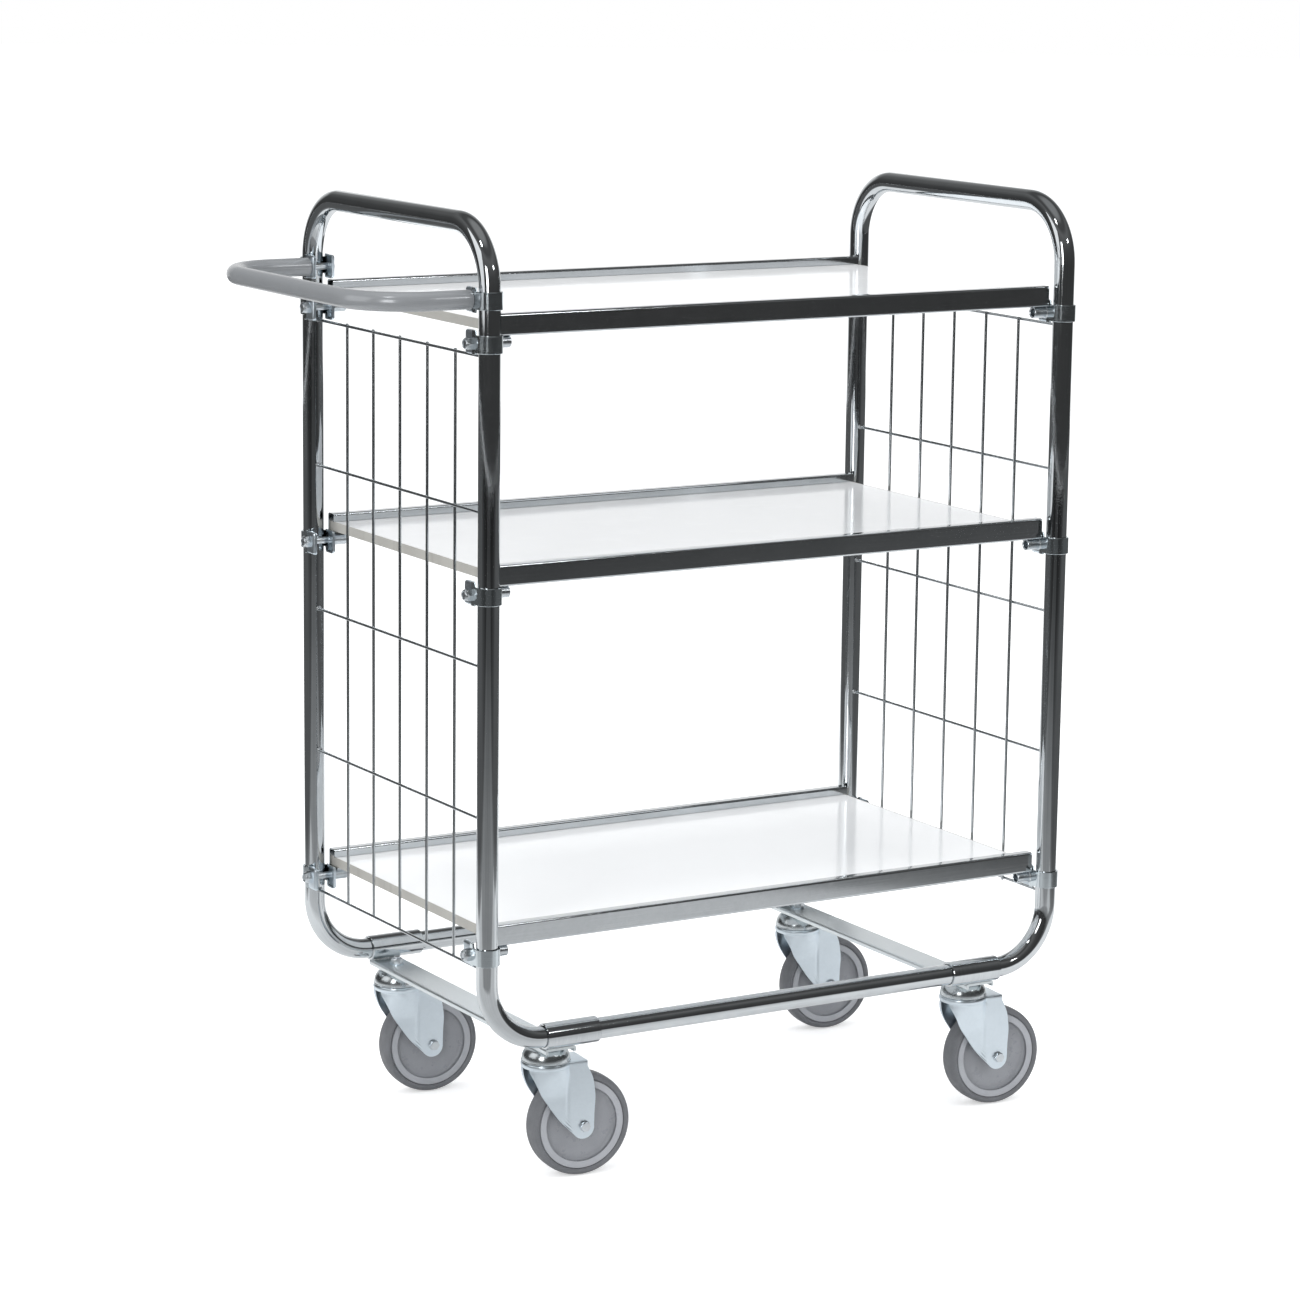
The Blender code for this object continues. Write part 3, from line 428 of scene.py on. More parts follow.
def rubbed_spots(tree, place, scale, low, high):
    """0 on the plain surface and 1 on rubbed spots, which grow as low and high sink."""
    noise = add_noise(tree, place, scale, detail=6.0, roughness=0.7)
    return add_ramp(tree, noise, [(low, 0.0), (high, 1.0)])


def new_finish(name, metallic=0.0):
    finish = bpy.data.materials.new(name)
    finish.use_nodes = True
    shader = finish.node_tree.nodes["Principled BSDF"]
    shader.inputs["Metallic"].default_value = metallic
    return finish, finish.node_tree, shader


def set_roughness(tree, shader, factor, low, high):
    node = tree.nodes.new("ShaderNodeMapRange")
    connect(tree, factor, node.inputs["Value"])
    node.inputs["To Min"].default_value = low
    node.inputs["To Max"].default_value = high
    tree.links.new(node.outputs["Result"], shader.inputs["Roughness"])


def add_bump(tree, shader, height, strength, distance):
    bump = add_node(tree, "ShaderNodeBump", Height=height, Strength=strength, Distance=distance)
    tree.links.new(bump.outputs[0], shader.inputs["Normal"])


def zinc(name, bright, dull, smooth, rough, lines, spangle=0.0):
    """Plating between two colours and two roughnesses, with lines along the piece."""
    finish, tree, shader = new_finish(name, metallic=1.0)
    coordinates = tree.nodes.new("ShaderNodeTexCoord")
    place = coordinates.outputs["Object"]
    along = stretched(tree, coordinates.outputs["UV"], LINES_PER_METRE)
    drawn = add_noise(tree, along, scale=1.0, detail=3.0, roughness=0.6)
    clouds = add_noise(tree, place, scale=17.0, detail=5.0, roughness=0.62)
    rubbed = rubbed_spots(tree, place, scale=46.0, low=0.56, high=0.72)
    crystals = add_node(tree, "ShaderNodeTexVoronoi", Vector=place, Scale=CRYSTALS_PER_METRE)
    streaks = blended(tree, drawn, clouds, LINE_TONE_SHARE)
    tone = blended(tree, crystals.outputs["Color"], streaks, spangle)
    shade = add_ramp(tree, tone, ZINC_TONE_SHARES)
    connect(tree, mixed_colour(tree, shade, dull, bright), shader.inputs["Base Color"])
    uneven = blended(tree, drawn, rubbed, LINE_GLOSS_SHARE)
    set_roughness(tree, shader, uneven, smooth, rough)
    add_bump(tree, shader, drawn, lines, LINE_DEPTH)
    return finish


tube_zinc = zinc(
    "tube_zinc", bright=(0.72, 0.75, 0.77), dull=(0.54, 0.57, 0.59), smooth=0.03, rough=0.13, lines=0.06,
)
sheet_zinc = zinc(
    "sheet_zinc", bright=(0.70, 0.73, 0.75), dull=(0.56, 0.59, 0.61), smooth=0.07, rough=0.17, lines=0.02,
    spangle=0.08,
)
pressed_zinc = zinc(
    "pressed_zinc", bright=(0.70, 0.76, 0.79), dull=(0.56, 0.62, 0.65), smooth=0.10, rough=0.22,
    lines=0.06, spangle=0.06,
)
head_zinc = zinc(
    "head_zinc", bright=(0.68, 0.72, 0.74), dull=(0.52, 0.56, 0.58), smooth=0.20, rough=0.30, lines=0.04,
)
beam_zinc = zinc(
    "beam_zinc", bright=(0.84, 0.89, 0.91), dull=(0.80, 0.85, 0.87), smooth=0.34, rough=0.46, lines=0.03,
)
satin_zinc = zinc(
    "satin_zinc", bright=(0.78, 0.86, 0.92), dull=(0.68, 0.76, 0.82), smooth=0.28, rough=0.42, lines=0.08,
    spangle=0.10,
)
wire_zinc = zinc(
    "wire_zinc", bright=(0.64, 0.67, 0.69), dull=(0.50, 0.53, 0.55), smooth=0.14, rough=0.30, lines=0.10,
)
print("plating:", [item.name for item in bpy.data.materials if item.name.endswith("zinc")])

# %% [markdown]
# Nearly every metal piece is one section carried along a path: a circle along a bent
# tube, a folded outline along a rail, a circle that changes its radius on a turned part.
# So one function skins any row of rings. It also unrolls the skin into metres, which is
# what the drawn lines of the plating follow round every bend.

# %% Skinning a row of rings
SHARP_DEGREES = 38.0
SEAM = 0.00001


def running_lengths(points):
    lengths = [0.0]
    for here, there in zip(points, points[1:]):
        lengths.append(lengths[-1] + (there - here).length)
    return lengths


def join_rows(bm, above, below, closed=False):
    """Four-sided faces between two rows of vertices; closed rows are rings."""
    faces = []
    for side in range(len(above) if closed else len(above) - 1):
        after = (side + 1) % len(above)
        faces.append(bm.faces.new((above[side], above[after], below[after], below[side])))
    return faces


def lay_rows(bm, rows, closed=False, above=None):
    """Vertices for rows of points, each row joined to the one above it."""
    laid = []
    for row in rows:
        below = [bm.verts.new(point) for point in row]
        if above:
            join_rows(bm, above, below, closed)
        above = below
        laid.append(below)
    return laid


def skin(name, rings, closed=False, lines_round=False):
    """Mesh through rings of points, unrolled in metres; closed joins the last to the first."""
    widest = max(rings, key=lambda ring: (ring[0] - ring[len(ring) // 2]).length)
    across = running_lengths(widest + widest[:1])
    along = running_lengths([ring[0] for ring in rings] + [rings[0][0]])
    bm = bmesh.new()
    metres = bm.loops.layers.uv.new("metres")
    verts = [[bm.verts.new(point) for point in ring] for ring in rings]
    for row in range(len(rings) if closed else len(rings) - 1):
        faces = join_rows(bm, verts[row], verts[(row + 1) % len(rings)], closed=True)
        for side, face in enumerate(faces):
            corners = ((side, row), (side + 1, row), (side + 1, row + 1), (side, row + 1))
            for loop, (u, v) in zip(face.loops, corners):
                place = (across[u], along[v])
                loop[metres].uv = place[::-1] if lines_round else place
    if not closed:
        bm.faces.new(verts[0])
        bm.faces.new(verts[-1])
    return finished_mesh(bm, name)


def close_seams(bm):
    bmesh.ops.remove_doubles(bm, verts=bm.verts, dist=SEAM)
    bmesh.ops.recalc_face_normals(bm, faces=bm.faces)


def smoothed(mesh, sharp=SHARP_DEGREES):
    """Smooth shading, with an edge wherever two faces meet at more than the given angle."""
    mesh.shade_smooth()
    mesh.set_sharp_from_angle(angle=math.radians(sharp))
    return mesh


def finished_mesh(bm, name, sharp=SHARP_DEGREES):
    close_seams(bm)
    return smoothed(mesh_from(bm, name), sharp)


def with_flat_faces(mesh):
    """Keep large faces flat in the shading, so that only the round corners bend it."""
    joined = {}

    def leader(corner):
        while joined.get(corner, corner) != corner:
            corner = joined[corner]
        return corner

    faces_at = {}
    for face in mesh.polygons:
        for key in face.edge_keys:
            faces_at.setdefault(key, []).append(face.index)
    for edge in mesh.edges:
        faces = faces_at.get(edge.key, [])
        if len(faces) == 2 and not edge.use_edge_sharp:
            for vertex in edge.vertices:
                joined[leader((vertex, faces[0]))] = leader((vertex, faces[1]))
    directions = {}
    for face in mesh.polygons:
        for vertex in face.vertices:
            corner = leader((vertex, face.index))
            directions[corner] = directions.get(corner, Vector()) + face.area * face.normal
    normals = []
    for face in mesh.polygons:
        for vertex in face.vertices:
            normals.append(directions[leader((vertex, face.index))].normalized())
    mesh.normals_split_custom_set(normals)
    return mesh


def add_piece(name, mesh, finish, body="frame", stands_for=()):
    """Put a mesh on the trolley; finish is None for a mesh that brings its own finishes."""
    piece = new_object(name, mesh)
    if finish:
        mesh.materials.append(finish)
    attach(piece, body)
    if stands_for:
        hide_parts(*stands_for)


def even_shares(steps):
    """From 0 to 1 in even steps, with both ends."""
    return [step / steps for step in range(steps + 1)]


def arc(centre, radius, start, end, steps=6):
    """Points (x, y) on a round line; angles are in quarter turns."""
    points = []
    for share in even_shares(steps):
        angle = math.pi / 2 * (start + (end - start) * share)
        points.append((centre[0] + radius * math.cos(angle), centre[1] + radius * math.sin(angle)))
    return points


def circle(placing, radius, sides):
    return [placing @ Vector((x, y, 0)) for x, y in arc((0, 0), radius, 0, 4, sides)[:-1]]


def facing_frame(origin, z_axis, x_axis):
    """A placing whose own Z and X point along the two given directions."""
    turn = Matrix((x_axis, z_axis.cross(x_axis), z_axis)).transposed()
    return Matrix.Translation(origin) @ turn.to_4x4()


print("skin helpers ready")

# %% [markdown]
# Each end frame is bent from one length of 25 mm tube, without a joint. A bender turns the
# tube by a quarter at a time, so the path is written as the bender would be set: straight
# run, bend radius and side, next run.

# %% Bent end frames
TUBE_SIDES = 40
BEND_STEPS = 18
HOOP_BEND = 0.072
FOOT_BEND = 0.072
SLEEVE_LENGTH = 0.070
SLEEVE_FROM_BEND = 0.0016
SLEEVE_X = POST_X - FOOT_BEND - SLEEVE_FROM_BEND - SLEEVE_LENGTH / 2


def bend_path(start, heading, moves):
    """Placings along a tube. A move is (length,) or (bend radius, side it bends to)."""
    placing = facing_frame(start, heading, Y_AXIS)
    placings = [placing]
    for move in moves:
        heading = placing.to_3x3() @ Z_AXIS
        if len(move) == 1:
            placing = Matrix.Translation(heading * move[0]) @ placing
            placings.append(placing)
            continue
        radius, toward = move
        centre = placing.translation + toward * radius
        turn = Matrix.Rotation(math.pi / 2 / BEND_STEPS, 4, heading.cross(toward))
        step = Matrix.Translation(centre) @ turn @ Matrix.Translation(-centre)
        for _ in range(BEND_STEPS):
            placing = step @ placing
            placings.append(placing)
    return placings


def bent_tube(name, radius, start, heading, moves):
    rings = [circle(placing, radius, TUBE_SIDES) for placing in bend_path(start, heading, moves)]
    return skin(name, rings)


for end, side in SIDES_X.items():
    foot = POST_X - FOOT_BEND - SLEEVE_X
    post = HOOP_HEIGHT - HOOP_BEND - FOOT_HEIGHT - FOOT_BEND
    bar = 2 * (POST_Y - HOOP_BEND)
    start = middle + Vector((side * SLEEVE_X, -POST_Y, FOOT_HEIGHT))
    moves = [
        (foot,), (FOOT_BEND, Z_AXIS), (post,),
        (HOOP_BEND, Y_AXIS), (bar,), (HOOP_BEND, -Z_AXIS),
        (post,), (FOOT_BEND, -side * X_AXIS), (foot,),
    ]
    mesh = bent_tube(end + "_bent_frame", TUBE_RADIUS, start, side * X_AXIS, moves)
    add_piece(mesh.name, mesh, tube_zinc, stands_for=(end + "_end_frame",))
    print(mesh.name, len(mesh.polygons), "faces")

# %% [markdown]
# Two straight tubes run between the feet. A short, wider sleeve covers each joint: its
# cut ends are broken by a file, so they catch a thin line of light, and the play round
# the tube is seen as a dark ring in its mouth.

# %% Lower rails and sleeves
SLEEVE_RADIUS = 0.0153
SLEEVE_LIP = 0.0006
SLEEVE_BORE = 0.0130

for face, side_y in SIDES_Y.items():
    start = middle + Vector((-SLEEVE_X, side_y * POST_Y, FOOT_HEIGHT))
    rail = bent_tube(face + "_rail_tube", TUBE_RADIUS, start, X_AXIS, [(2 * SLEEVE_X,)])
    add_piece(rail.name, rail, tube_zinc, stands_for=(face + "_lower_rail",))


def mirrored(half):
    """A whole section from the half on one side of its middle."""
    return half + [(radius, -height) for radius, height in reversed(half)]


def lathe_rings(profile, sides, placing):
    """Rings through (radius, height) points along the placing's own Z."""
    rings = []
    for radius, height in profile:
        rings.append(circle(placing @ Matrix.Translation((0, 0, height)), radius, sides))
    return rings


def turned(name, profile, sides, placing, closed=False):
    """A lathe part; closed joins the end of its section to the start."""
    return skin(name, lathe_rings(profile, sides, placing), closed, lines_round=True)


half = SLEEVE_LENGTH / 2
profile = mirrored([
    (SLEEVE_BORE, -half), (SLEEVE_RADIUS - SLEEVE_LIP, -half), (SLEEVE_RADIUS, -half + SLEEVE_LIP),
])
for corner, side_x, side_y in CORNERS:
    spot = middle + Vector((side_x * SLEEVE_X, side_y * POST_Y, FOOT_HEIGHT))
    placing = facing_frame(spot, X_AXIS, Y_AXIS)
    mesh = turned(corner + "_joint_sleeve", profile, TUBE_SIDES, placing, closed=True)
    add_piece(mesh.name, mesh, tube_zinc, stands_for=(corner + "_sleeve",))
print("sleeves at x = +-", round(SLEEVE_X, 4), "from the middle")

# %% [markdown]
# The caster beams are shallow channels, open downward and pressed from 3 mm sheet. Their
# outer folds are round, so the section is drawn with small arcs and then carried along.

# %% Caster beams
BEAM_WIDTH = 0.040
BEAM_TOP = 0.1656
BEAM_BOTTOM = 0.1591
BEAM_SHEET = 0.003
BEAM_FOLD = 0.0028
BEAM_PAST_POST = 0.003
BEAM_LENGTH = 2 * (POST_Y + BEAM_PAST_POST)
CASTER_X = 0.2953
CASTER_Y = 0.1893


def drawn_section(name, outline, placing, length):
    """Carry a flat outline along the placing's own Z."""
    rings = []
    for reach in (0, length):
        rings.append([placing @ Vector((x, y, reach)) for x, y in outline])
    return with_flat_faces(skin(name, rings))


def beam_outline():
    half = BEAM_WIDTH / 2
    outer = arc((half - BEAM_FOLD, BEAM_TOP - BEAM_FOLD), BEAM_FOLD, 0, 1)
    outer += [(-x, z) for x, z in reversed(outer)]
    inner = half - BEAM_SHEET
    web = BEAM_TOP - BEAM_SHEET
    return outer + [
        (-half, BEAM_BOTTOM), (-inner, BEAM_BOTTOM), (-inner, web),
        (inner, web), (inner, BEAM_BOTTOM), (half, BEAM_BOTTOM),
    ]


for end, side in SIDES_X.items():
    start = middle + Vector((side * CASTER_X, BEAM_LENGTH / 2, 0))
    placing = facing_frame(start, -Y_AXIS, X_AXIS)
    mesh = drawn_section(end + "_caster_beam", beam_outline(), placing, BEAM_LENGTH)
    add_piece(mesh.name, mesh, beam_zinc, stands_for=(end + "_crossbeam",))
print("beams", round(BEAM_LENGTH, 4), "long")

# %% [markdown]
# A shelf is a laminated board between two folded rails. The rail is a flat face to the
# outside, a narrow crown over the board's edge and a flange under it. The folds are what
# the eye sees: each is a thin bright line, so they need true round corners.

# %% Shelf rails
RAIL_HEIGHT = 0.025
RAIL_SHEET = 0.0015
RAIL_FOLD = 0.015
RAIL_CORNER = 0.0028
RAIL_FLANGE = 0.022
RAIL_HEM = 0.003
RAIL_LIP_OVER_HEM = 0.012
RAIL_HALF_LENGTH = 0.3758
SHELF_HALF_WIDTH = 0.2145
SHELF_FEET = {"top": 0.99205, "middle": 0.70955, "bottom": 0.29305}


def rail_outline():
    inner = RAIL_CORNER - RAIL_SHEET
    crown = RAIL_HEIGHT - RAIL_CORNER
    lip_end = RAIL_HEM + RAIL_LIP_OVER_HEM
    outline = arc((RAIL_CORNER, RAIL_CORNER), RAIL_CORNER, 3, 2)
    outline += arc((RAIL_CORNER, crown), RAIL_CORNER, 2, 1)
    outline += arc((RAIL_FOLD - RAIL_CORNER, crown), RAIL_CORNER, 1, 0)
    outline += [(RAIL_FOLD, lip_end), (RAIL_FOLD - RAIL_SHEET, lip_end)]
    outline += arc((RAIL_FOLD - RAIL_CORNER, crown), inner, 0, 1)
    outline += arc((RAIL_CORNER, crown), inner, 1, 2)
    outline += [(RAIL_SHEET, RAIL_HEM), (RAIL_FLANGE, RAIL_HEM), (RAIL_FLANGE, 0)]
    return outline


for level, foot in SHELF_FEET.items():
    for face, side in SIDES_Y.items():
        start = middle + Vector((-RAIL_HALF_LENGTH, side * SHELF_HALF_WIDTH, foot))
        placing = Matrix((-side * Y_AXIS, Z_AXIS, X_AXIS)).transposed().to_4x4()
        placing = Matrix.Translation(start) @ placing
        name = f"{level}_{face}_shelf_rail"
        mesh = drawn_section(name, rail_outline(), placing, 2 * RAIL_HALF_LENGTH)
        add_piece(name, mesh, sheet_zinc, stands_for=(f"{level}_{face}_rail",))
print("rails", round(2 * RAIL_HALF_LENGTH, 4), "long")

# %% [markdown]
# The boards are chipboard faced with glossy white laminate. Gloss laminate is never quite
# flat: it has a faint orange-peel ripple, and hands and boxes leave soft rubbed patches
# and hair scratches, which show as a change of gloss and hardly as a change of colour.

# %% White laminate and edge strip
HAIRS_PER_METRE = (9, 700, 1)
JOINTS_PER_METRE = (1, 26, 3)
LAMINATE_COLOURS = ((0.900, 0.906, 0.912), (0.872, 0.880, 0.888))
LAMINATE_IOR = 1.48
RIPPLE_DEPTH = 0.0004
SCRATCH_SHARES = ((0.70, 0.0), (0.76, 1.0))
STRIP_COLOURS = ((0.36, 0.35, 0.325), (0.43, 0.42, 0.39))
JOINT_COLOUR = (0.25, 0.24, 0.22)
JOINT_SHARE = 0.3
JOINT_LINE_SHARES = ((0.60, 0.0), (0.64, 1.0), (0.68, 0.0))


def white_laminate_finish():
    finish, tree, shader = new_finish("white_laminate")
    place = object_place(tree)
    clouds = add_noise(tree, place, scale=6.0, detail=4.0, roughness=0.6)
    rubbed = rubbed_spots(tree, place, scale=11.0, low=0.50, high=0.74)
    hair = add_noise(tree, stretched(tree, place, HAIRS_PER_METRE), scale=1.0)
    scratches = add_ramp(tree, hair, SCRATCH_SHARES)
    connect(tree, mixed_colour(tree, clouds, *LAMINATE_COLOURS), shader.inputs["Base Color"])
    wear = add_maths(tree, "MAXIMUM", rubbed, scratches)
    set_roughness(tree, shader, wear, low=0.12, high=0.19)
    ripple = add_noise(tree, place, scale=160.0)
    add_bump(tree, shader, ripple, strength=0.05, distance=RIPPLE_DEPTH)
    shader.inputs["IOR"].default_value = LAMINATE_IOR
    return finish


def edge_strip_finish():
    finish, tree, shader = new_finish("edge_strip")
    place = object_place(tree)
    speckle = add_noise(tree, place, scale=420.0, detail=5.0, roughness=0.7)
    joints = add_noise(tree, stretched(tree, place, JOINTS_PER_METRE), scale=1.0)
    faint = add_maths(tree, "MULTIPLY", add_ramp(tree, joints, JOINT_LINE_SHARES), JOINT_SHARE)
    plain = mixed_colour(tree, speckle, *STRIP_COLOURS)
    connect(tree, mixed_colour(tree, faint, plain, JOINT_COLOUR), shader.inputs["Base Color"])
    set_roughness(tree, shader, speckle, low=0.42, high=0.62)
    add_bump(tree, shader, speckle, strength=0.15, distance=SKIN_DEPTH)
    return finish


white_laminate = white_laminate_finish()
edge_strip = edge_strip_finish()
print("board finishes:", white_laminate.name, edge_strip.name)

# %% [markdown]
# The board is a block with its long edges barely broken. Its two short ends are cut
# chipboard hidden under a glued strip, which is a separate thin piece and lies flush.

# %% Boards
BOARD_HALF_LENGTH = 0.3738
BOARD_HALF_WIDTH = 0.2127
BOARD_THICKNESS = 0.0114
BOARD_OVER_FOOT = 0.0033
STRIP_THICKNESS = 0.0012
BOARD_EDGE = 0.0004
STRIP_EDGE = BOARD_EDGE / 2
EDGE_SEGMENTS = 2
ROUND_PROFILE = 0.5
BLOCK_SHARP_DEGREES = 60


def block(name, x_ends, height_ends, edge):
    """A block as wide as a board, with its edges broken."""
    ends = (x_ends, (-BOARD_HALF_WIDTH, BOARD_HALF_WIDTH), height_ends)
    bm = bmesh.new()
    bmesh.ops.create_cube(bm, size=1)
    for vert in bm.verts:
        vert.co = [low + (high - low) * (at + 0.5) for (low, high), at in zip(ends, vert.co)]
    bmesh.ops.bevel(
        bm, geom=bm.edges[:], offset=edge, segments=EDGE_SEGMENTS, affect="EDGES",
        profile=ROUND_PROFILE,
    )
    return with_flat_faces(finished_mesh(bm, name, BLOCK_SHARP_DEGREES))


for level, foot in SHELF_FEET.items():
    heights = (foot + BOARD_OVER_FOOT, foot + BOARD_OVER_FOOT + BOARD_THICKNESS)
    inner = BOARD_HALF_LENGTH - STRIP_THICKNESS
    mesh = block(level + "_shelf_board", (middle.x - inner, middle.x + inner), heights, BOARD_EDGE)
    add_piece(mesh.name, mesh, white_laminate, stands_for=(level + "_board",))
    for end, side in SIDES_X.items():
        ends = sorted((middle.x + side * inner, middle.x + side * BOARD_HALF_LENGTH))
        strip = block(f"{level}_{end}_end_strip", ends, heights, STRIP_EDGE)
        add_piece(strip.name, strip, edge_strip)
print("boards", round(2 * BOARD_HALF_LENGTH, 4), "x", round(2 * BOARD_HALF_WIDTH, 4))

# %% [markdown]
# The ends are closed by welded wire: five rows between the posts and five uprights on
# their inner side. Resistance welding presses each crossing flat and leaves no bead, but
# the rows are welded to the posts by hand, and there a small dull blob stays.

# %% Wire ends
WIRE_RADIUS = 0.00175
WIRE_TOP = 0.9693
WIRE_BOTTOM = 0.2671
WIRE_ROWS = 5
UPRIGHTS = 5
UPRIGHT_PITCH = 0.068
WIRE_TIP = 0.0025
WIRE_SIDES = 12
CUT_TIP_SHARE = 0.4
WELD_FLOW = 0.0005
WIRE_IN_POST = 0.001
WIRE_BEAD_SIZE = (0.0034, 0.0022, 0.0030)
WIRE_BEAD_INWARD = 0.0008
WIRE_BEAD_LIFT = 0.0003
BEAD_DETAIL = 3
BEAD_LUMP = 0.13
BEAD_RIPPLE = 0.06
BEAD_SHARP_DEGREES = 80
BEAD_WAVES = ((9, 40), (7, 31), (23, 17))


def add_rod(bm, start, end):
    """A wire with softly rounded cut ends."""
    along = (end - start).normalized()
    placing = facing_frame(start, along, X_AXIS)
    length = (end - start).length
    tip = WIRE_RADIUS * CUT_TIP_SHARE
    edge = WIRE_RADIUS - tip
    profile = [(edge, 0), (WIRE_RADIUS, tip), (WIRE_RADIUS, length - tip), (edge, length)]
    rings = lay_rows(bm, lathe_rings(profile, WIRE_SIDES, placing), closed=True)
    bm.faces.new(rings[0])
    bm.faces.new(rings[-1])


def add_blob(bm, place, size):
    """A weld bead: a small ball, uneven in a way that depends only on its place."""
    made = bmesh.ops.create_icosphere(bm, subdivisions=BEAD_DETAIL, radius=1)["verts"]
    for vert in made:
        across, along, ripple = (
            math.sin(on_bead * here + on_trolley * there)
            for (on_bead, on_trolley), here, there in zip(BEAD_WAVES, vert.co, place.zyx)
        )
        lump = 1 + BEAD_LUMP * (across * along) + BEAD_RIPPLE * ripple
        vert.co = place + lump * vert.co * Vector(size)


weld_metal = zinc(
    "weld_metal", bright=(0.60, 0.62, 0.63), dull=(0.34, 0.35, 0.36), smooth=0.34, rough=0.58, lines=0.30,
    spangle=0.3,
)
for end, side in SIDES_X.items():
    wires = bmesh.new()
    beads = bmesh.new()
    row_x = middle.x + side * POST_X
    upright_x = row_x - side * (2 * WIRE_RADIUS - WELD_FLOW)
    post_face = POST_Y - TUBE_RADIUS
    row_end = post_face + WIRE_IN_POST
    for share in even_shares(WIRE_ROWS - 1):
        height = WIRE_BOTTOM + (WIRE_TOP - WIRE_BOTTOM) * share
        add_rod(wires, Vector((row_x, -row_end, height)), Vector((row_x, row_end, height)))
        for face_side in SIDES_Y.values():
            x = row_x - side * WIRE_BEAD_INWARD
            place = Vector((x, face_side * post_face, height + WIRE_BEAD_LIFT))
            add_blob(beads, place, WIRE_BEAD_SIZE)
    for column in range(UPRIGHTS):
        y = UPRIGHT_PITCH * (column - (UPRIGHTS - 1) / 2)
        low = Vector((upright_x, y, WIRE_BOTTOM - WIRE_TIP))
        high = Vector((upright_x, y, WIRE_TOP + WIRE_TIP))
        add_rod(wires, low, high)
    mesh = finished_mesh(wires, end + "_wire_end")
    add_piece(mesh.name, mesh, wire_zinc, stands_for=(end + "_wire_panel",))
    mesh = finished_mesh(beads, end + "_wire_welds", BEAD_SHARP_DEGREES)
    add_piece(mesh.name, mesh, weld_metal)
print("wires per end:", WIRE_ROWS + UPRIGHTS)

# %% [markdown]
# A post clamp is one strap of sheet bent round the post, with two ears that a bolt draws
# together. The ears are pressed into shallow trays: their edges turn toward each other,
# which makes them stiff and gives the soft bright rim round each ear. The clamp is drawn
# once, at the front left post, and then turned inward at each of the others.

# %% Clamp strap and ears
CLAMP_SHEET = 0.0022
BAND_BORE = 0.0128
BAND_OUTSIDE = 0.0150
BAND_HEIGHT = 0.020
BAND_EDGE = 0.0005
BAND_STEPS = 32
EAR_ROOT = 0.006
EAR_STEP = 0.0012
EAR_PLATE_END = 0.0134
EAR_REACH = 0.031
EAR_BELOW = 0.0120
EAR_ABOVE = 0.0152
EAR_CORNER = 0.0032
EAR_DEPTH = 0.0046
EAR_FOLD_STEPS = 5
EDGE_FINDER_DEGREES = 50


def band_section(way, reach, low, high):
    """Section of the strap at one place in plan, its two outer edges broken."""
    near = Vector((way.x * BAND_BORE, way.y * BAND_BORE + reach))
    far = Vector((way.x * BAND_OUTSIDE, way.y * BAND_OUTSIDE + reach))
    break_at = far - way * BAND_EDGE
    corners = [
        (*near, low), (*near, high), (*break_at, high), (*far, high - BAND_EDGE),
        (*far, low + BAND_EDGE), (*break_at, low),
    ]
    return [Vector(corner) for corner in corners]


def strap(name, ear_below, ear_above):
    """The band round the post and the plain roots of its two ears."""
    ear = (-ear_below, ear_above)
    band = (-BAND_HEIGHT / 2, BAND_HEIGHT / 2)
    taller_from = EAR_ROOT + EAR_STEP
    outer, inner = Vector((-1, 0)), Vector((1, 0))
    plan = [(outer, EAR_PLATE_END, ear), (outer, taller_from, ear), (outer, EAR_ROOT, band)]
    plan += [(Vector(point), 0, band) for point in arc((0, 0), 1, 2, 4, BAND_STEPS)]
    plan += [(inner, EAR_ROOT, band), (inner, taller_from, ear), (inner, EAR_PLATE_END, ear)]
    return skin(name, [band_section(way, reach, *heights) for way, reach, heights in plan])


def ear_path(inset, below, above):
    """The ear's outline on three sides, drawn in from it by an inset: (v, height)."""
    corner = EAR_CORNER - inset
    tip = EAR_REACH - EAR_CORNER
    path = [(EAR_PLATE_END, -below + inset)]
    path += arc((tip, -below + EAR_CORNER), corner, 3, 4)
    path += arc((tip, above - EAR_CORNER), corner, 0, 1)
    path.append((EAR_PLATE_END, above - inset))
    return path


def ear_tray(name, side, below, above):
    """A pressed tray: face plate, round fold, and a rim that points to the other ear."""
    fold = arc((0, 0), 1, 0, 1, EAR_FOLD_STEPS)
    profile = [(EAR_CORNER * (1 - y), EAR_CORNER * (1 - x)) for x, y in fold]
    profile.append((0.0, EAR_DEPTH))
    bm = bmesh.new()
    rows = []
    for inset, depth in profile:
        u = side * (BAND_OUTSIDE - depth)
        rows.append([(u, v, height) for v, height in ear_path(inset, below, above)])
    bm.faces.new(lay_rows(bm, rows)[0])
    return sheet_mesh(bm, name, side * X_AXIS, CLAMP_SHEET)


def sheet_mesh(bm, name, outward, thickness, bevel=0.0):
    """An open skin made into sheet: its largest face looks outward, and it grows inward."""
    close_seams(bm)
    if max(bm.faces, key=lambda face: face.calc_area()).normal.dot(outward) < 0:
        bmesh.ops.reverse_faces(bm, faces=bm.faces)
    host = new_object(name, mesh_from(bm, name))
    solid = host.modifiers.new("sheet", "SOLIDIFY")
    solid.thickness = thickness
    solid.offset = -1
    solid.use_even_offset = True
    if bevel:
        edges = host.modifiers.new("broken_edges", "BEVEL")
        edges.width = bevel
        edges.segments = EDGE_SEGMENTS
        edges.limit_method = "ANGLE"
        edges.angle_limit = math.radians(EDGE_FINDER_DEGREES)
    depsgraph = bpy.context.evaluated_depsgraph_get()
    result = bpy.data.meshes.new_from_object(host.evaluated_get(depsgraph))
    bpy.data.objects.remove(host)
    return smoothed(result)


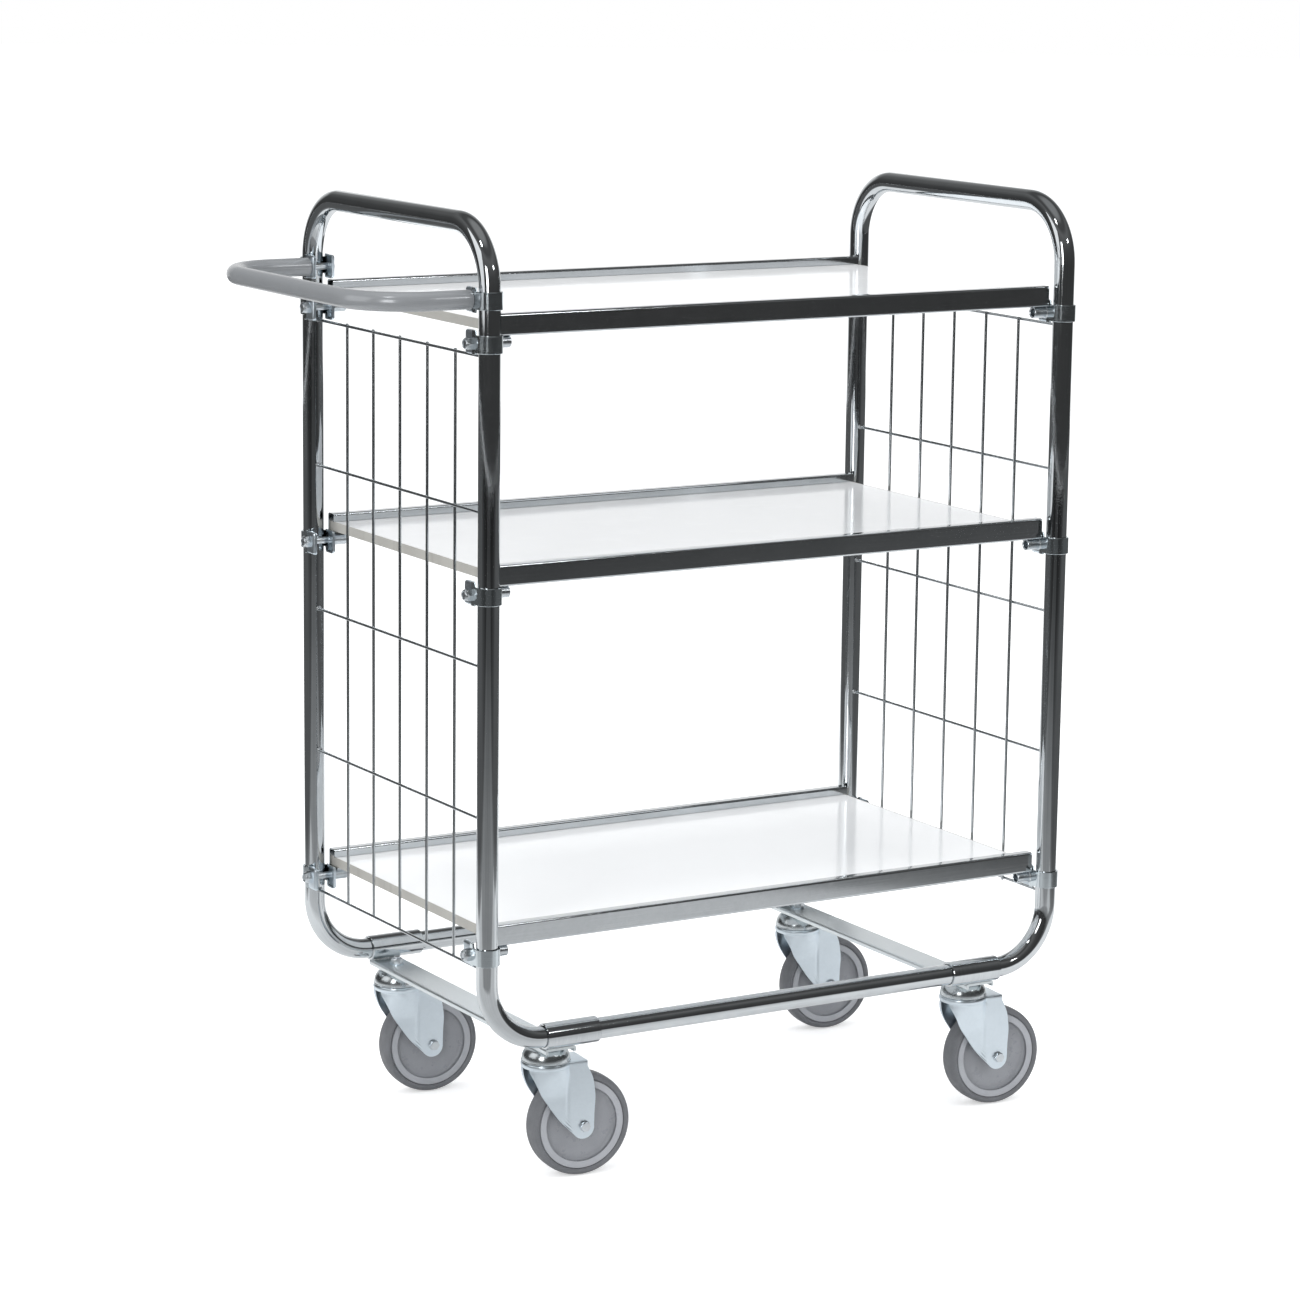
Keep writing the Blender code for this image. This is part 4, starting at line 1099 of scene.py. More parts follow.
print("clamp band", BAND_HEIGHT, "high, ears reach", EAR_REACH)

# %% [markdown]
# The bolt is turned and hexagonal work: a lock nut with its round collar and the bolt's
# dark end inside on the outer ear, the shank between the ears, and a hollow support
# barrel on the inner ear, on which the shelf rail lies.

# %% Clamp bolt, lock nut and barrel
BOLT_REACH = 0.0168
BOLT_RADIUS = 0.0040
BOLT_TIP_RADIUS = 0.8 * BOLT_RADIUS
BOLT_TIP_LENGTH = 0.2 * BOLT_RADIUS
NUT_RADIUS = 0.0075
NUT_HEIGHT = 0.0055
NUT_SIDES = 36
NUT_ROUND_SHARE = 0.985
NUT_CORNER_SHARES = ((0, 1.0), (0.78, 1.0), (0.93, 0.5), (1, 0.0))
COLLAR_RADIUS = 0.0062
COLLAR_LENGTH = 0.0025
COLLAR_FOOT_SHARE = 0.9
COLLAR_EDGE_SHARES = ((1, 0.55), (0.9, 0.9), (0.78, 1))
COLLAR_MOUTH_RADIUS = 1.02 * BOLT_RADIUS
COLLAR_MOUTH_SHARE = 0.8
BOLT_SHOWN_SHARE = 0.7
BARREL_RADIUS = 0.00675
BARREL_LENGTH = 0.019
BARREL_BORE = 0.0048
BARREL_BORE_SHARE = 0.4
BARREL_LIP = 0.0005
BARREL_FLANGE = 0.0011
BARREL_FLANGE_EDGE = 0.0009
BARREL_FLANGE_END = 0.0019
BARREL_SEATED = 0.0004
ROUND_SIDES = 28


def bolt_placing(start, reach, way=1):
    """Along the trolley, from a given u, at v = reach; way -1 points outward."""
    return facing_frame(Vector((start, reach, 0)), way * X_AXIS, Z_AXIS)


def hexagon_nut(name, placing, radius, height):
    """A hexagon whose six corners are turned off at the outer face."""
    flat = radius * math.cos(math.pi / 6)
    round_edge = flat * NUT_ROUND_SHARE
    rings = []
    for level_share, corner_share in NUT_CORNER_SHARES:
        ring = []
        for side in range(NUT_SIDES):
            angle = math.tau * side / NUT_SIDES
            hexagonal = flat / math.cos((angle + math.pi / 6) % (math.pi / 3) - math.pi / 6)
            reach = round_edge + (hexagonal - round_edge) * corner_share
            point = (reach * math.cos(angle), reach * math.sin(angle), height * level_share)
            ring.append(placing @ Vector(point))
        rings.append(ring)
    return skin(name, rings)


def lock_nut_parts():
    outward = bolt_placing(-BAND_OUTSIDE, BOLT_REACH, -1)
    nut = hexagon_nut("lock_nut", outward, NUT_RADIUS, NUT_HEIGHT)
    profile = [(COLLAR_RADIUS, NUT_HEIGHT * COLLAR_FOOT_SHARE)]
    for radius_share, height_share in COLLAR_EDGE_SHARES:
        profile.append((COLLAR_RADIUS * radius_share, NUT_HEIGHT + COLLAR_LENGTH * height_share))
    profile.append((COLLAR_MOUTH_RADIUS, NUT_HEIGHT + COLLAR_LENGTH * COLLAR_MOUTH_SHARE))
    profile.append((COLLAR_MOUTH_RADIUS, NUT_HEIGHT))
    return nut, turned("lock_nut_collar", profile, ROUND_SIDES, outward)


def bolt_shank():
    start = -BAND_OUTSIDE - NUT_HEIGHT - COLLAR_LENGTH * BOLT_SHOWN_SHARE
    length = BAND_OUTSIDE - start
    profile = [(BOLT_TIP_RADIUS, 0), (BOLT_RADIUS, BOLT_TIP_LENGTH), (BOLT_RADIUS, length)]
    return turned("bolt_shank", profile, ROUND_SIDES, bolt_placing(start, BOLT_REACH))


def support_barrel():
    length = BARREL_LENGTH
    profile = [
        (BARREL_RADIUS + BARREL_FLANGE, 0), (BARREL_RADIUS + BARREL_FLANGE_EDGE, BARREL_FLANGE_EDGE),
        (BARREL_RADIUS, BARREL_FLANGE_END), (BARREL_RADIUS, length - BARREL_LIP),
        (BARREL_RADIUS - BARREL_LIP, length), (BARREL_BORE + BARREL_LIP, length),
        (BARREL_BORE, length - BARREL_LIP), (BARREL_BORE, length * BARREL_BORE_SHARE),
    ]
    seat = bolt_placing(BAND_OUTSIDE - BARREL_SEATED, BOLT_REACH)
    return turned("support_barrel", profile, ROUND_SIDES, seat)


def joined(name, parts):
    """One mesh from (mesh, finish) pairs; each finish keeps its own material slot."""
    bm = bmesh.new()
    finishes = []
    for mesh, finish in parts:
        if finish not in finishes:
            finishes.append(finish)
        first = len(bm.faces)
        bm.from_mesh(mesh)
        bm.faces.ensure_lookup_table()
        for face in bm.faces[first:]:
            face.material_index = finishes.index(finish)
    whole = mesh_from(bm, name)
    for finish in finishes:
        whole.materials.append(finish)
    return whole


bolt_steel = zinc(
    "bolt_steel", bright=(0.75, 0.79, 0.82), dull=(0.58, 0.62, 0.65), smooth=0.26, rough=0.40, lines=0.20,
    spangle=0.2,
)
# Painted shade: a near-black steel for the axle shaft, which shows only in the narrow gaps between the
# fork's cheeks and the hub.
painted_shade_steel = zinc(
    "painted_shade_steel", bright=(0.16, 0.17, 0.18), dull=(0.08, 0.085, 0.09), smooth=0.38, rough=0.55, lines=0.25,
)


def strap_with_ears(below, above):
    ears = [(ear_tray("ear", side, below, above), satin_zinc) for side in (-1, 1)]
    return [(strap("strap", below, above), pressed_zinc)] + ears


def shelf_clamp():
    steel_parts = [*lock_nut_parts(), bolt_shank(), support_barrel()]
    parts = strap_with_ears(EAR_BELOW, EAR_ABOVE)
    return joined("shelf_clamp", parts + [(part, bolt_steel) for part in steel_parts])


clamp = shelf_clamp()
print("clamp faces:", len(clamp.polygons))

# %% [markdown]
# Twelve copies of that clamp hold the shelves. At the rear posts the clamp is turned
# upside down, so that its nut still faces the end of the trolley.

# %% Shelf clamps
CLAMP_HEIGHTS = {"top": 0.9850, "middle": 0.7025, "bottom": 0.2860}


def add_clamp(name, drawing, side_x, side_y, height, node):
    inward = Matrix.Diagonal((-side_x, -side_y, -side_y, 1))
    spot = middle + Vector((side_x * POST_X, side_y * POST_Y, height))
    mesh = drawing.copy()
    mesh.transform(Matrix.Translation(spot) @ inward)
    if inward.determinant() < 0:
        mesh.flip_normals()
    add_piece(name, mesh, None, stands_for=(node,))


for level, height in CLAMP_HEIGHTS.items():
    for face, side_y in SIDES_Y.items():
        for end, side_x in SIDES_X.items():
            place = f"{level}_{face}_{end}"
            add_clamp(place + "_post_clamp", clamp, side_x, side_y, height, place + "_clamp")
print("clamps:", len(CLAMP_HEIGHTS) * len(CORNERS))

# %% [markdown]
# The push handle is one more bent tube, 22 mm thick, in a satin grey coating. Powder coat
# has a fine orange-peel skin, and scattered rubbed spots on it are a little less glossy.

# %% Handle finish
COATING_COLOURS = ((0.245, 0.255, 0.265), (0.268, 0.278, 0.288))
COATING_METALLIC = 0.25


def grey_coating_finish():
    finish, tree, shader = new_finish("grey_coating", metallic=COATING_METALLIC)
    place = object_place(tree)
    clouds = add_noise(tree, place, scale=24.0, detail=5.0, roughness=0.6)
    connect(tree, mixed_colour(tree, clouds, *COATING_COLOURS), shader.inputs["Base Color"])
    worn = rubbed_spots(tree, place, scale=60.0, low=0.42, high=0.66)
    set_roughness(tree, shader, worn, low=0.20, high=0.25)
    peel = add_noise(tree, place, scale=900.0)
    add_bump(tree, shader, peel, strength=0.06, distance=SKIN_DEPTH)
    return finish


grey_coating = grey_coating_finish()
print("handle finish:", grey_coating.name)

# %% [markdown]
# Its two ends stop at the outer ears of their own clamps. There the bolt is a round head,
# turned from inside, and the ears are as tall above the middle as below it.

# %% Handle and its clamps
HANDLE_RADIUS = 0.011
HANDLE_HEIGHT = 1.0335
HANDLE_X = -POST_X - 0.1352
HANDLE_BEND = 0.072
HANDLE_EAR = 0.014
HANDLE_BOLT_REACH = 0.0185
HANDLE_GAP = 0.0003
HANDLE_ROOT_X = -POST_X - BAND_OUTSIDE - HANDLE_GAP
ROUND_HEAD_RADIUS = 0.0065
ROUND_HEAD_HEIGHT = 0.004
DOME_STEPS = 7

arm_y = POST_Y - HANDLE_BOLT_REACH
arm = HANDLE_ROOT_X - HANDLE_X - HANDLE_BEND
bar = 2 * (arm_y - HANDLE_BEND)
start = middle + Vector((HANDLE_ROOT_X, -arm_y, HANDLE_HEIGHT))
moves = [(arm,), (HANDLE_BEND, Y_AXIS), (bar,), (HANDLE_BEND, X_AXIS), (arm,)]
handle = bent_tube("push_handle", HANDLE_RADIUS, start, -X_AXIS, moves)
add_piece(handle.name, handle, grey_coating, stands_for=("handle_tube",))


def handle_clamp():
    inward = bolt_placing(BAND_OUTSIDE, HANDLE_BOLT_REACH)
    rim = ROUND_HEAD_HEIGHT / 4
    head_profile = [(ROUND_HEAD_RADIUS, 0)]
    for across, up in arc((0, 0), 1, 0, 1, DOME_STEPS)[:-1]:
        head_profile.append((ROUND_HEAD_RADIUS * across, rim + (ROUND_HEAD_HEIGHT - rim) * up))
    shank_profile = [(BOLT_RADIUS, 0), (BOLT_RADIUS, 2 * BAND_OUTSIDE)]
    shank = bolt_placing(-BAND_OUTSIDE, HANDLE_BOLT_REACH)
    return joined("handle_clamp", strap_with_ears(HANDLE_EAR, HANDLE_EAR) + [
        (turned("round_head", head_profile, ROUND_SIDES, inward), bolt_steel),
        (turned("handle_shank", shank_profile, ROUND_SIDES, shank), bolt_steel),
    ])


clamp = handle_clamp()
for face, side_y in SIDES_Y.items():
    node = face + "_handle_clamp"
    add_clamp(face + "_handle_strap", clamp, SIDES_X["left"], side_y, HANDLE_HEIGHT, node)
print("handle reaches", round(-HANDLE_X - POST_X, 4), "past the posts")

# %% [markdown]
# Beads of weld tie the sleeves to the caster beams. They are laid on the inner side of the
# line where the round sleeve touches the flat beam.

# %% Weld beads on the beams
BEAD_COUNT = 7
BEAD_RUN = 0.030
BEAD_FROM_LINE = 0.0042
BEAD_SIZE = (0.0032, 0.0024, 0.0017)

for end, side_x in SIDES_X.items():
    beads = bmesh.new()
    for side_y in SIDES_Y.values():
        for share in even_shares(BEAD_COUNT - 1):
            x = middle.x + side_x * CASTER_X + (share - 0.5) * BEAD_RUN
            y = side_y * (POST_Y - BEAD_FROM_LINE)
            add_blob(beads, Vector((x, y, BEAM_TOP + BEAD_SIZE[2] / 2)), BEAD_SIZE)
    mesh = finished_mesh(beads, end + "_beam_welds", BEAD_SHARP_DEGREES)
    add_piece(mesh.name, mesh, weld_metal)
print("beads on each joint:", BEAD_COUNT)

# %% [markdown]
# From here on everything is a caster. Each is drawn once with its swivel axis upright
# through the origin and its wheel trailing toward +X, and is then set in four places. The
# dome is fixed to the beam by a stud and a nut; only the fork and the wheel turn.

# %% Caster head and nut
HEAD_BOTTOM = 0.1418
HEAD_TOP = 0.1588
HEAD_RADIUS = 0.029
HEAD_DOME_RADIUS = 0.0284
HEAD_DOME_IN = 0.0105
HEAD_BOSS_RADIUS = 0.016
STUD_RADIUS = 0.004
STUD_TIP = 0.004
STUD_POINT = 0.0006
STUD_POINT_RADIUS = 0.8 * STUD_RADIUS
BEAM_NUT_RADIUS = 0.0075
BEAM_NUT_HEIGHT = 0.0065
WASHER_RADIUS = 0.0085
WASHER_HEIGHT = 0.0011
HEAD_SIDES = 72
KING_PIN_RADIUS = 0.006
KING_PIN_SHOWN = 0.004
HEAD_LIP = 0.0006
HEAD_STEPS = 14


def head_profile():
    """From the king pin's lower end up over the dome to the boss inside the beam."""
    foot = HEAD_BOTTOM + 3 * HEAD_LIP
    profile = [
        (KING_PIN_RADIUS, HEAD_BOTTOM - KING_PIN_SHOWN), (KING_PIN_RADIUS, HEAD_BOTTOM),
        (HEAD_RADIUS - HEAD_LIP, HEAD_BOTTOM), (HEAD_RADIUS, HEAD_BOTTOM + HEAD_LIP),
        (HEAD_RADIUS, HEAD_BOTTOM + 2 * HEAD_LIP),
    ]
    for across, up in arc((0, 0), 1, 0, 1, HEAD_STEPS):
        profile.append((HEAD_DOME_RADIUS - HEAD_DOME_IN * (1 - across), foot + (HEAD_TOP - foot) * up))
    return profile + [(HEAD_BOSS_RADIUS, HEAD_TOP), (HEAD_BOSS_RADIUS, BEAM_TOP - BEAM_SHEET)]


def beam_nut_mesh():
    on_beam = Matrix.Translation((0, 0, BEAM_TOP))
    on_washer = Matrix.Translation((0, 0, BEAM_TOP + WASHER_HEIGHT))
    stud_top = BEAM_NUT_HEIGHT + STUD_TIP
    washer = [(WASHER_RADIUS, 0), (WASHER_RADIUS, WASHER_HEIGHT)]
    stud = [(STUD_RADIUS, 0), (STUD_RADIUS, stud_top - STUD_POINT), (STUD_POINT_RADIUS, stud_top)]
    return joined("beam_nut", [
        (turned("washer", washer, ROUND_SIDES, on_beam), satin_zinc),
        (hexagon_nut("nut", on_washer, BEAM_NUT_RADIUS, BEAM_NUT_HEIGHT), bolt_steel),
        (turned("stud", stud, ROUND_SIDES, on_beam), bolt_steel),
    ])


caster_head = turned("dome", head_profile(), HEAD_SIDES, Matrix.Identity(4))
beam_nut = beam_nut_mesh()
print("head", round(2 * HEAD_RADIUS, 4), "across")

# %% [markdown]
# The fork is one pressing: a round race with a rolled edge, a plate behind it with sharp
# corners, and two cheeks that sweep down to the axle. Two long curves carry its whole
# character, the front and the rear edge of a cheek, so those are drawn as smooth lines
# through a few shares of the way and everything between them is filled in.

# %% Fork outline
WHEEL_RADIUS = 0.062
CASTER_TRAIL = 0.0412
FORK_TOP = 0.1415
FORK_SHEET = 0.0025
FORK_HALF_WIDTH = 0.020
FORK_SKIRT = 0.0065
FORK_RACE_RADIUS = 0.0295
FORK_PLATE_REAR = 0.0445
FORK_EYE_RADIUS = 0.0137
FORK_EYE_SHIFT = 0.0015
FORK_BULGE = 0.0103
EYE_FRONT_TURN = math.radians(222)
EYE_REAR_TURN = math.radians(360)
FRONT_EDGE_SHARES = ((0.0, 0.0), (0.11, 0.19), (0.23, 0.36), (0.40, 0.53), (0.65, 0.76))
REAR_BULGE_SHARES = (0.0, 0.65, 0.89, 1.0, 0.90)
RACE_STEPS = 60
NO_CHEEK_STEPS = 10
FORK_PLATE_STEPS = 20
EDGE_STEPS = 5


def smooth_line(points, steps):
    """A line through all the points that bends evenly between them."""
    points = [Vector(point) for point in points]
    ends = [2 * points[0] - points[1]] + points + [2 * points[-1] - points[-2]]
    line = []
    for before, here, there, after in zip(ends, ends[1:], ends[2:], ends[3:]):
        for t in even_shares(steps)[:-1]:
            line.append(0.5 * (
                2 * here + (there - before) * t
                + (2 * before - 5 * here + 4 * there - after) * t ** 2
                + (3 * here - before - 3 * there + after) * t ** 3
            ))
    return line + [points[-1]]


def fork_plan():
    """The fold seen from above on one side, front to rear: (x, y, share of race)."""
    crease = math.pi - math.asin(FORK_HALF_WIDTH / FORK_RACE_RADIUS)
    plan = []
    for share in even_shares(RACE_STEPS):
        turn = crease * share
        race = 0.5 if share == 1 else 1.0
        plan.append((-FORK_RACE_RADIUS * math.cos(turn), FORK_RACE_RADIUS * math.sin(turn), race))
    crease_x = plan[-1][0]
    for share in even_shares(FORK_PLATE_STEPS)[1:]:
        plan.append((crease_x + (FORK_PLATE_REAR - crease_x) * share, FORK_HALF_WIDTH, 0.0))
    return plan


def cheek_edges():
    """Front and rear edge of a cheek, from the fold down to the round eye."""
    top = FORK_TOP - FORK_SKIRT
    front_x = fork_plan()[NO_CHEEK_STEPS][0]
    front_end = eye_point(0)
    rear_end = eye_point(1)
    front, rear = [], []
    for (along, drop), bulge in zip(FRONT_EDGE_SHARES, REAR_BULGE_SHARES):
        front.append((front_x + (front_end.x - front_x) * along, top + (front_end.y - top) * drop))
        rear.append((FORK_PLATE_REAR + FORK_BULGE * bulge, top + (rear_end.y - top) * drop))
    return [smooth_line(edge, EDGE_STEPS) for edge in (front + [front_end], rear + [rear_end])]


def eye_point(share):
    turn = EYE_FRONT_TURN + (EYE_REAR_TURN - EYE_FRONT_TURN) * share
    middle_x = CASTER_TRAIL - FORK_EYE_SHIFT
    height = WHEEL_RADIUS - FORK_EYE_SHIFT
    return Vector((
        middle_x + FORK_EYE_RADIUS * math.cos(turn), height + FORK_EYE_RADIUS * math.sin(turn),
    ))


print("fold of the fork:", len(fork_plan()), "points a side")

# %% [markdown]
# The skin of the fork is laid in rows of four-sided faces: first round the fold, which is
# a bead along the race and a plain bend along the plate, then down each cheek. A shallow
# groove runs down where the race's round form ends. Solidify then gives the sheet its
# thickness inward, so the outside stays where it was drawn.

# %% Fork skin
FORK_BEAD = 0.0011
FORK_BEND = 0.0019
BEND_SHARE = 2 / 3
FOLD_STEPS = 6
CHEEK_FLAT = 0.0985
GROOVE_X = 0.0195
GROOVE_WIDTH = 0.0011
GROOVE_DEPTH = 0.0011
EYE_ROWS = 6
FORK_EDGE = 0.0006


def fold_rows(side):
    """Points round the fold for each place in plan, from the plate to the cheek's top."""
    rows = []
    for share in even_shares(FOLD_STEPS):
        bead_turn = math.pi * (share - 0.5)
        bead = (FORK_BEAD * (1 - math.cos(bead_turn)), FORK_SKIRT / 2 * (1 + math.sin(bead_turn)))
        bend_turn = math.pi / 2 * min(share / BEND_SHARE, 1)
        straight = max((share - BEND_SHARE) / (1 - BEND_SHARE), 0)
        bend_drop = FORK_BEND * (1 - math.cos(bend_turn)) + (FORK_SKIRT - FORK_BEND) * straight
        bend = (FORK_BEND * (1 - math.sin(bend_turn)), bend_drop)
        row = []
        for x, y, race in fork_plan():
            inset = bend[0] + (bead[0] - bend[0]) * race
            drop = bend[1] + (bead[1] - bend[1]) * race
            inward = Vector((-x, -y)).normalized() * race + Vector((0, -1)) * (1 - race)
            place = Vector((x, y)) + inward.normalized() * inset
            row.append((place.x, side * place.y, FORK_TOP - drop))
        rows.append(row)
    return rows


def cheek_half_width(x, height):
    """Half the fork's width: round like the race under the fold, flat lower down."""
    top = FORK_TOP - FORK_SKIRT
    share = min(max((height - CHEEK_FLAT) / (top - CHEEK_FLAT), 0), 1)
    share = share * share * (3 - 2 * share)
    race = math.sqrt(max(FORK_RACE_RADIUS ** 2 - x * x, 0)) - FORK_BEAD
    width = max(race, FORK_HALF_WIDTH) if x > 0 else race
    groove = GROOVE_DEPTH * math.exp(-((x - GROOVE_X) / GROOVE_WIDTH) ** 2)
    return FORK_HALF_WIDTH + (width - FORK_HALF_WIDTH) * share - groove * (1 - share)


def cheek_rows(side):
    """Rows down a cheek; below the last full row they close in on the round eye."""
    plan = fork_plan()[NO_CHEEK_STEPS:]
    front_x, rear_x = plan[0][0], plan[-1][0]
    shares = [(x - front_x) / (rear_x - front_x) for x, _, _ in plan]
    rows = []
    for front, rear in list(zip(*cheek_edges()))[1:]:
        rows.append([front.lerp(rear, share) for share in shares])
    chord = rows[-1]
    for drop in even_shares(EYE_ROWS)[1:]:
        rows.append([place.lerp(eye_point(share), drop) for place, share in zip(chord, shares)])
    return [[(p.x, side * cheek_half_width(p.x, p.y), p.y) for p in row] for row in rows]


def fork_mesh():
    bm = bmesh.new()
    border = []
    for side in (-1, 1):
        fold = lay_rows(bm, fold_rows(side))
        lay_rows(bm, cheek_rows(side), above=fold[-1][NO_CHEEK_STEPS:])
        border.append(fold[0])
    bm.faces.new(border[0] + border[1][:0:-1])
    return sheet_mesh(bm, "fork", Z_AXIS, FORK_SHEET, FORK_EDGE)


fork = fork_mesh()
print("fork faces:", len(fork.polygons))

# %% [markdown]
# A through bolt is the axle: it shows as a hexagon on a thin round collar on both cheeks.
# The wheel is two mouldings. The centre is a hard grey plastic with a raised rim and a
# dished middle, the tyre a softer and darker rubber with round shoulders.

# %% Axle, wheel centre and tyre
AXLE_RADIUS = 0.004
AXLE_HEAD_RADIUS = 0.0066
AXLE_HEAD_HEIGHT = 0.0045
AXLE_COLLAR_HEIGHT = 0.0010
AXLE_NOSE_RADIUS = 0.96 * AXLE_HEAD_RADIUS
AXLE_PLAY = 0.0002
TYRE_DEPTH = 0.0083
TYRE_HALF_WIDTH = 0.015
TYRE_SIDE = 0.013
TREAD_HALF_WIDTH = 0.008
TREAD_DROP = 0.0003
TYRE_OVER_RIM = 0.0003
TYRE_BULGE_SHARES = (0.33, 0.75)
RIM_RADIUS = WHEEL_RADIUS - TYRE_DEPTH - TYRE_OVER_RIM
RIM_HALF_WIDTH = 0.0128
RIM_WIDTH = 0.0084
RIM_EDGE = 0.0012
DISH_HALF = 0.0053
DISH_FILLET = 0.0042
BOSS_RADIUS = 0.010
BOSS_HALF = 0.0172
WHEEL_SIDES = 96
TYRE_STEPS = 4

on_axle = facing_frame(Vector((CASTER_TRAIL, 0, WHEEL_RADIUS)), Y_AXIS, Z_AXIS)


def axle_mesh():
    shaft = [(AXLE_RADIUS, -FORK_HALF_WIDTH), (AXLE_RADIUS, FORK_HALF_WIDTH)]
    # The shaft takes the painted shade steel, darker than the bolt's own heads.
    parts = [(turned("axle_shaft", shaft, ROUND_SIDES, on_axle), painted_shade_steel)]
    collar = [(AXLE_HEAD_RADIUS, 0), (AXLE_HEAD_RADIUS, AXLE_COLLAR_HEIGHT)]
    nose = AXLE_HEAD_HEIGHT - AXLE_COLLAR_HEIGHT
    for way in (-1, 1):
        seat = Vector((CASTER_TRAIL, way * (FORK_HALF_WIDTH + AXLE_PLAY), WHEEL_RADIUS))
        placing = facing_frame(seat, way * Y_AXIS, Z_AXIS)
        raised = placing @ Matrix.Translation((0, 0, AXLE_COLLAR_HEIGHT))
        parts.append((turned("collar", collar, ROUND_SIDES, placing), bolt_steel))
        parts.append((hexagon_nut("nose", raised, AXLE_NOSE_RADIUS, nose), bolt_steel))
    return joined("axle_bolt", parts)


def rim_section():
    """The raised outer ring of the wheel centre, on one side."""
    inner = RIM_RADIUS - RIM_WIDTH
    shoulder = RIM_HALF_WIDTH - RIM_EDGE
    edge = arc((inner + RIM_EDGE, shoulder), RIM_EDGE, 2, 1, steps=4)
    return edge + [(RIM_RADIUS - RIM_EDGE / 2, RIM_HALF_WIDTH), (RIM_RADIUS, shoulder)]


def dish_section():
    """The middle: hub boss, flat disc, and the hollow corner up to the ring."""
    inner = RIM_RADIUS - RIM_WIDTH
    hollow = DISH_HALF + DISH_FILLET
    boss = [(AXLE_RADIUS, BOSS_HALF), (BOSS_RADIUS - RIM_EDGE, BOSS_HALF)]
    boss.append((BOSS_RADIUS, BOSS_HALF - RIM_EDGE))
    foot = arc((BOSS_RADIUS + DISH_FILLET, hollow), DISH_FILLET, 2, 3, steps=5)
    corner = arc((inner - DISH_FILLET, hollow), DISH_FILLET, 3, 4)
    return boss + foot + corner + [(inner, RIM_HALF_WIDTH - RIM_EDGE)]


def tyre_section():
    seat = RIM_RADIUS + TYRE_OVER_RIM
    belly, shoulder = (seat + TYRE_DEPTH * share for share in TYRE_BULGE_SHARES)
    line = smooth_line([
        (seat, TYRE_SIDE), (belly, TYRE_HALF_WIDTH), (shoulder, TYRE_SIDE),
        (WHEEL_RADIUS - TREAD_DROP, TREAD_HALF_WIDTH), (WHEEL_RADIUS, 0),
    ], TYRE_STEPS)
    return [(min(point.x, WHEEL_RADIUS), min(point.y, TYRE_HALF_WIDTH)) for point in line]


print("rim", round(RIM_RADIUS, 4), "tyre", WHEEL_RADIUS)

# %% [markdown]
# Wheel plastic is moulded with a fine matt skin and is a darker grey in the dish than on the
# ring. The rubber is polished by the floor in patches.

# %% Wheel finishes
CLOUD_SHARE = 0.7
MOULDED_TONE_SHARES = ((0.32, 0.0), (0.68, 1.0))


def moulded_finish(name, low, high, smooth, rough, grain, bump):
    """Moulded grey: soft clouds, fine skin, and rubbed patches that shine a little."""
    finish, tree, shader = new_finish(name)
    place = object_place(tree)
    clouds = add_noise(tree, place, scale=34.0, detail=5.0, roughness=0.65)
    specks = add_noise(tree, place, scale=700.0, detail=3.0, roughness=0.6)
    spread = add_ramp(tree, blended(tree, clouds, specks, CLOUD_SHARE), MOULDED_TONE_SHARES)
    connect(tree, mixed_colour(tree, spread, low, high), shader.inputs["Base Color"])
    rubbed = rubbed_spots(tree, place, scale=55.0, low=0.44, high=0.68)
    set_roughness(tree, shader, rubbed, rough, smooth)
    skin_grain = add_noise(tree, place, scale=grain, detail=3.0, roughness=0.6)
    add_bump(tree, shader, skin_grain, strength=bump, distance=SKIN_DEPTH)
    return finish


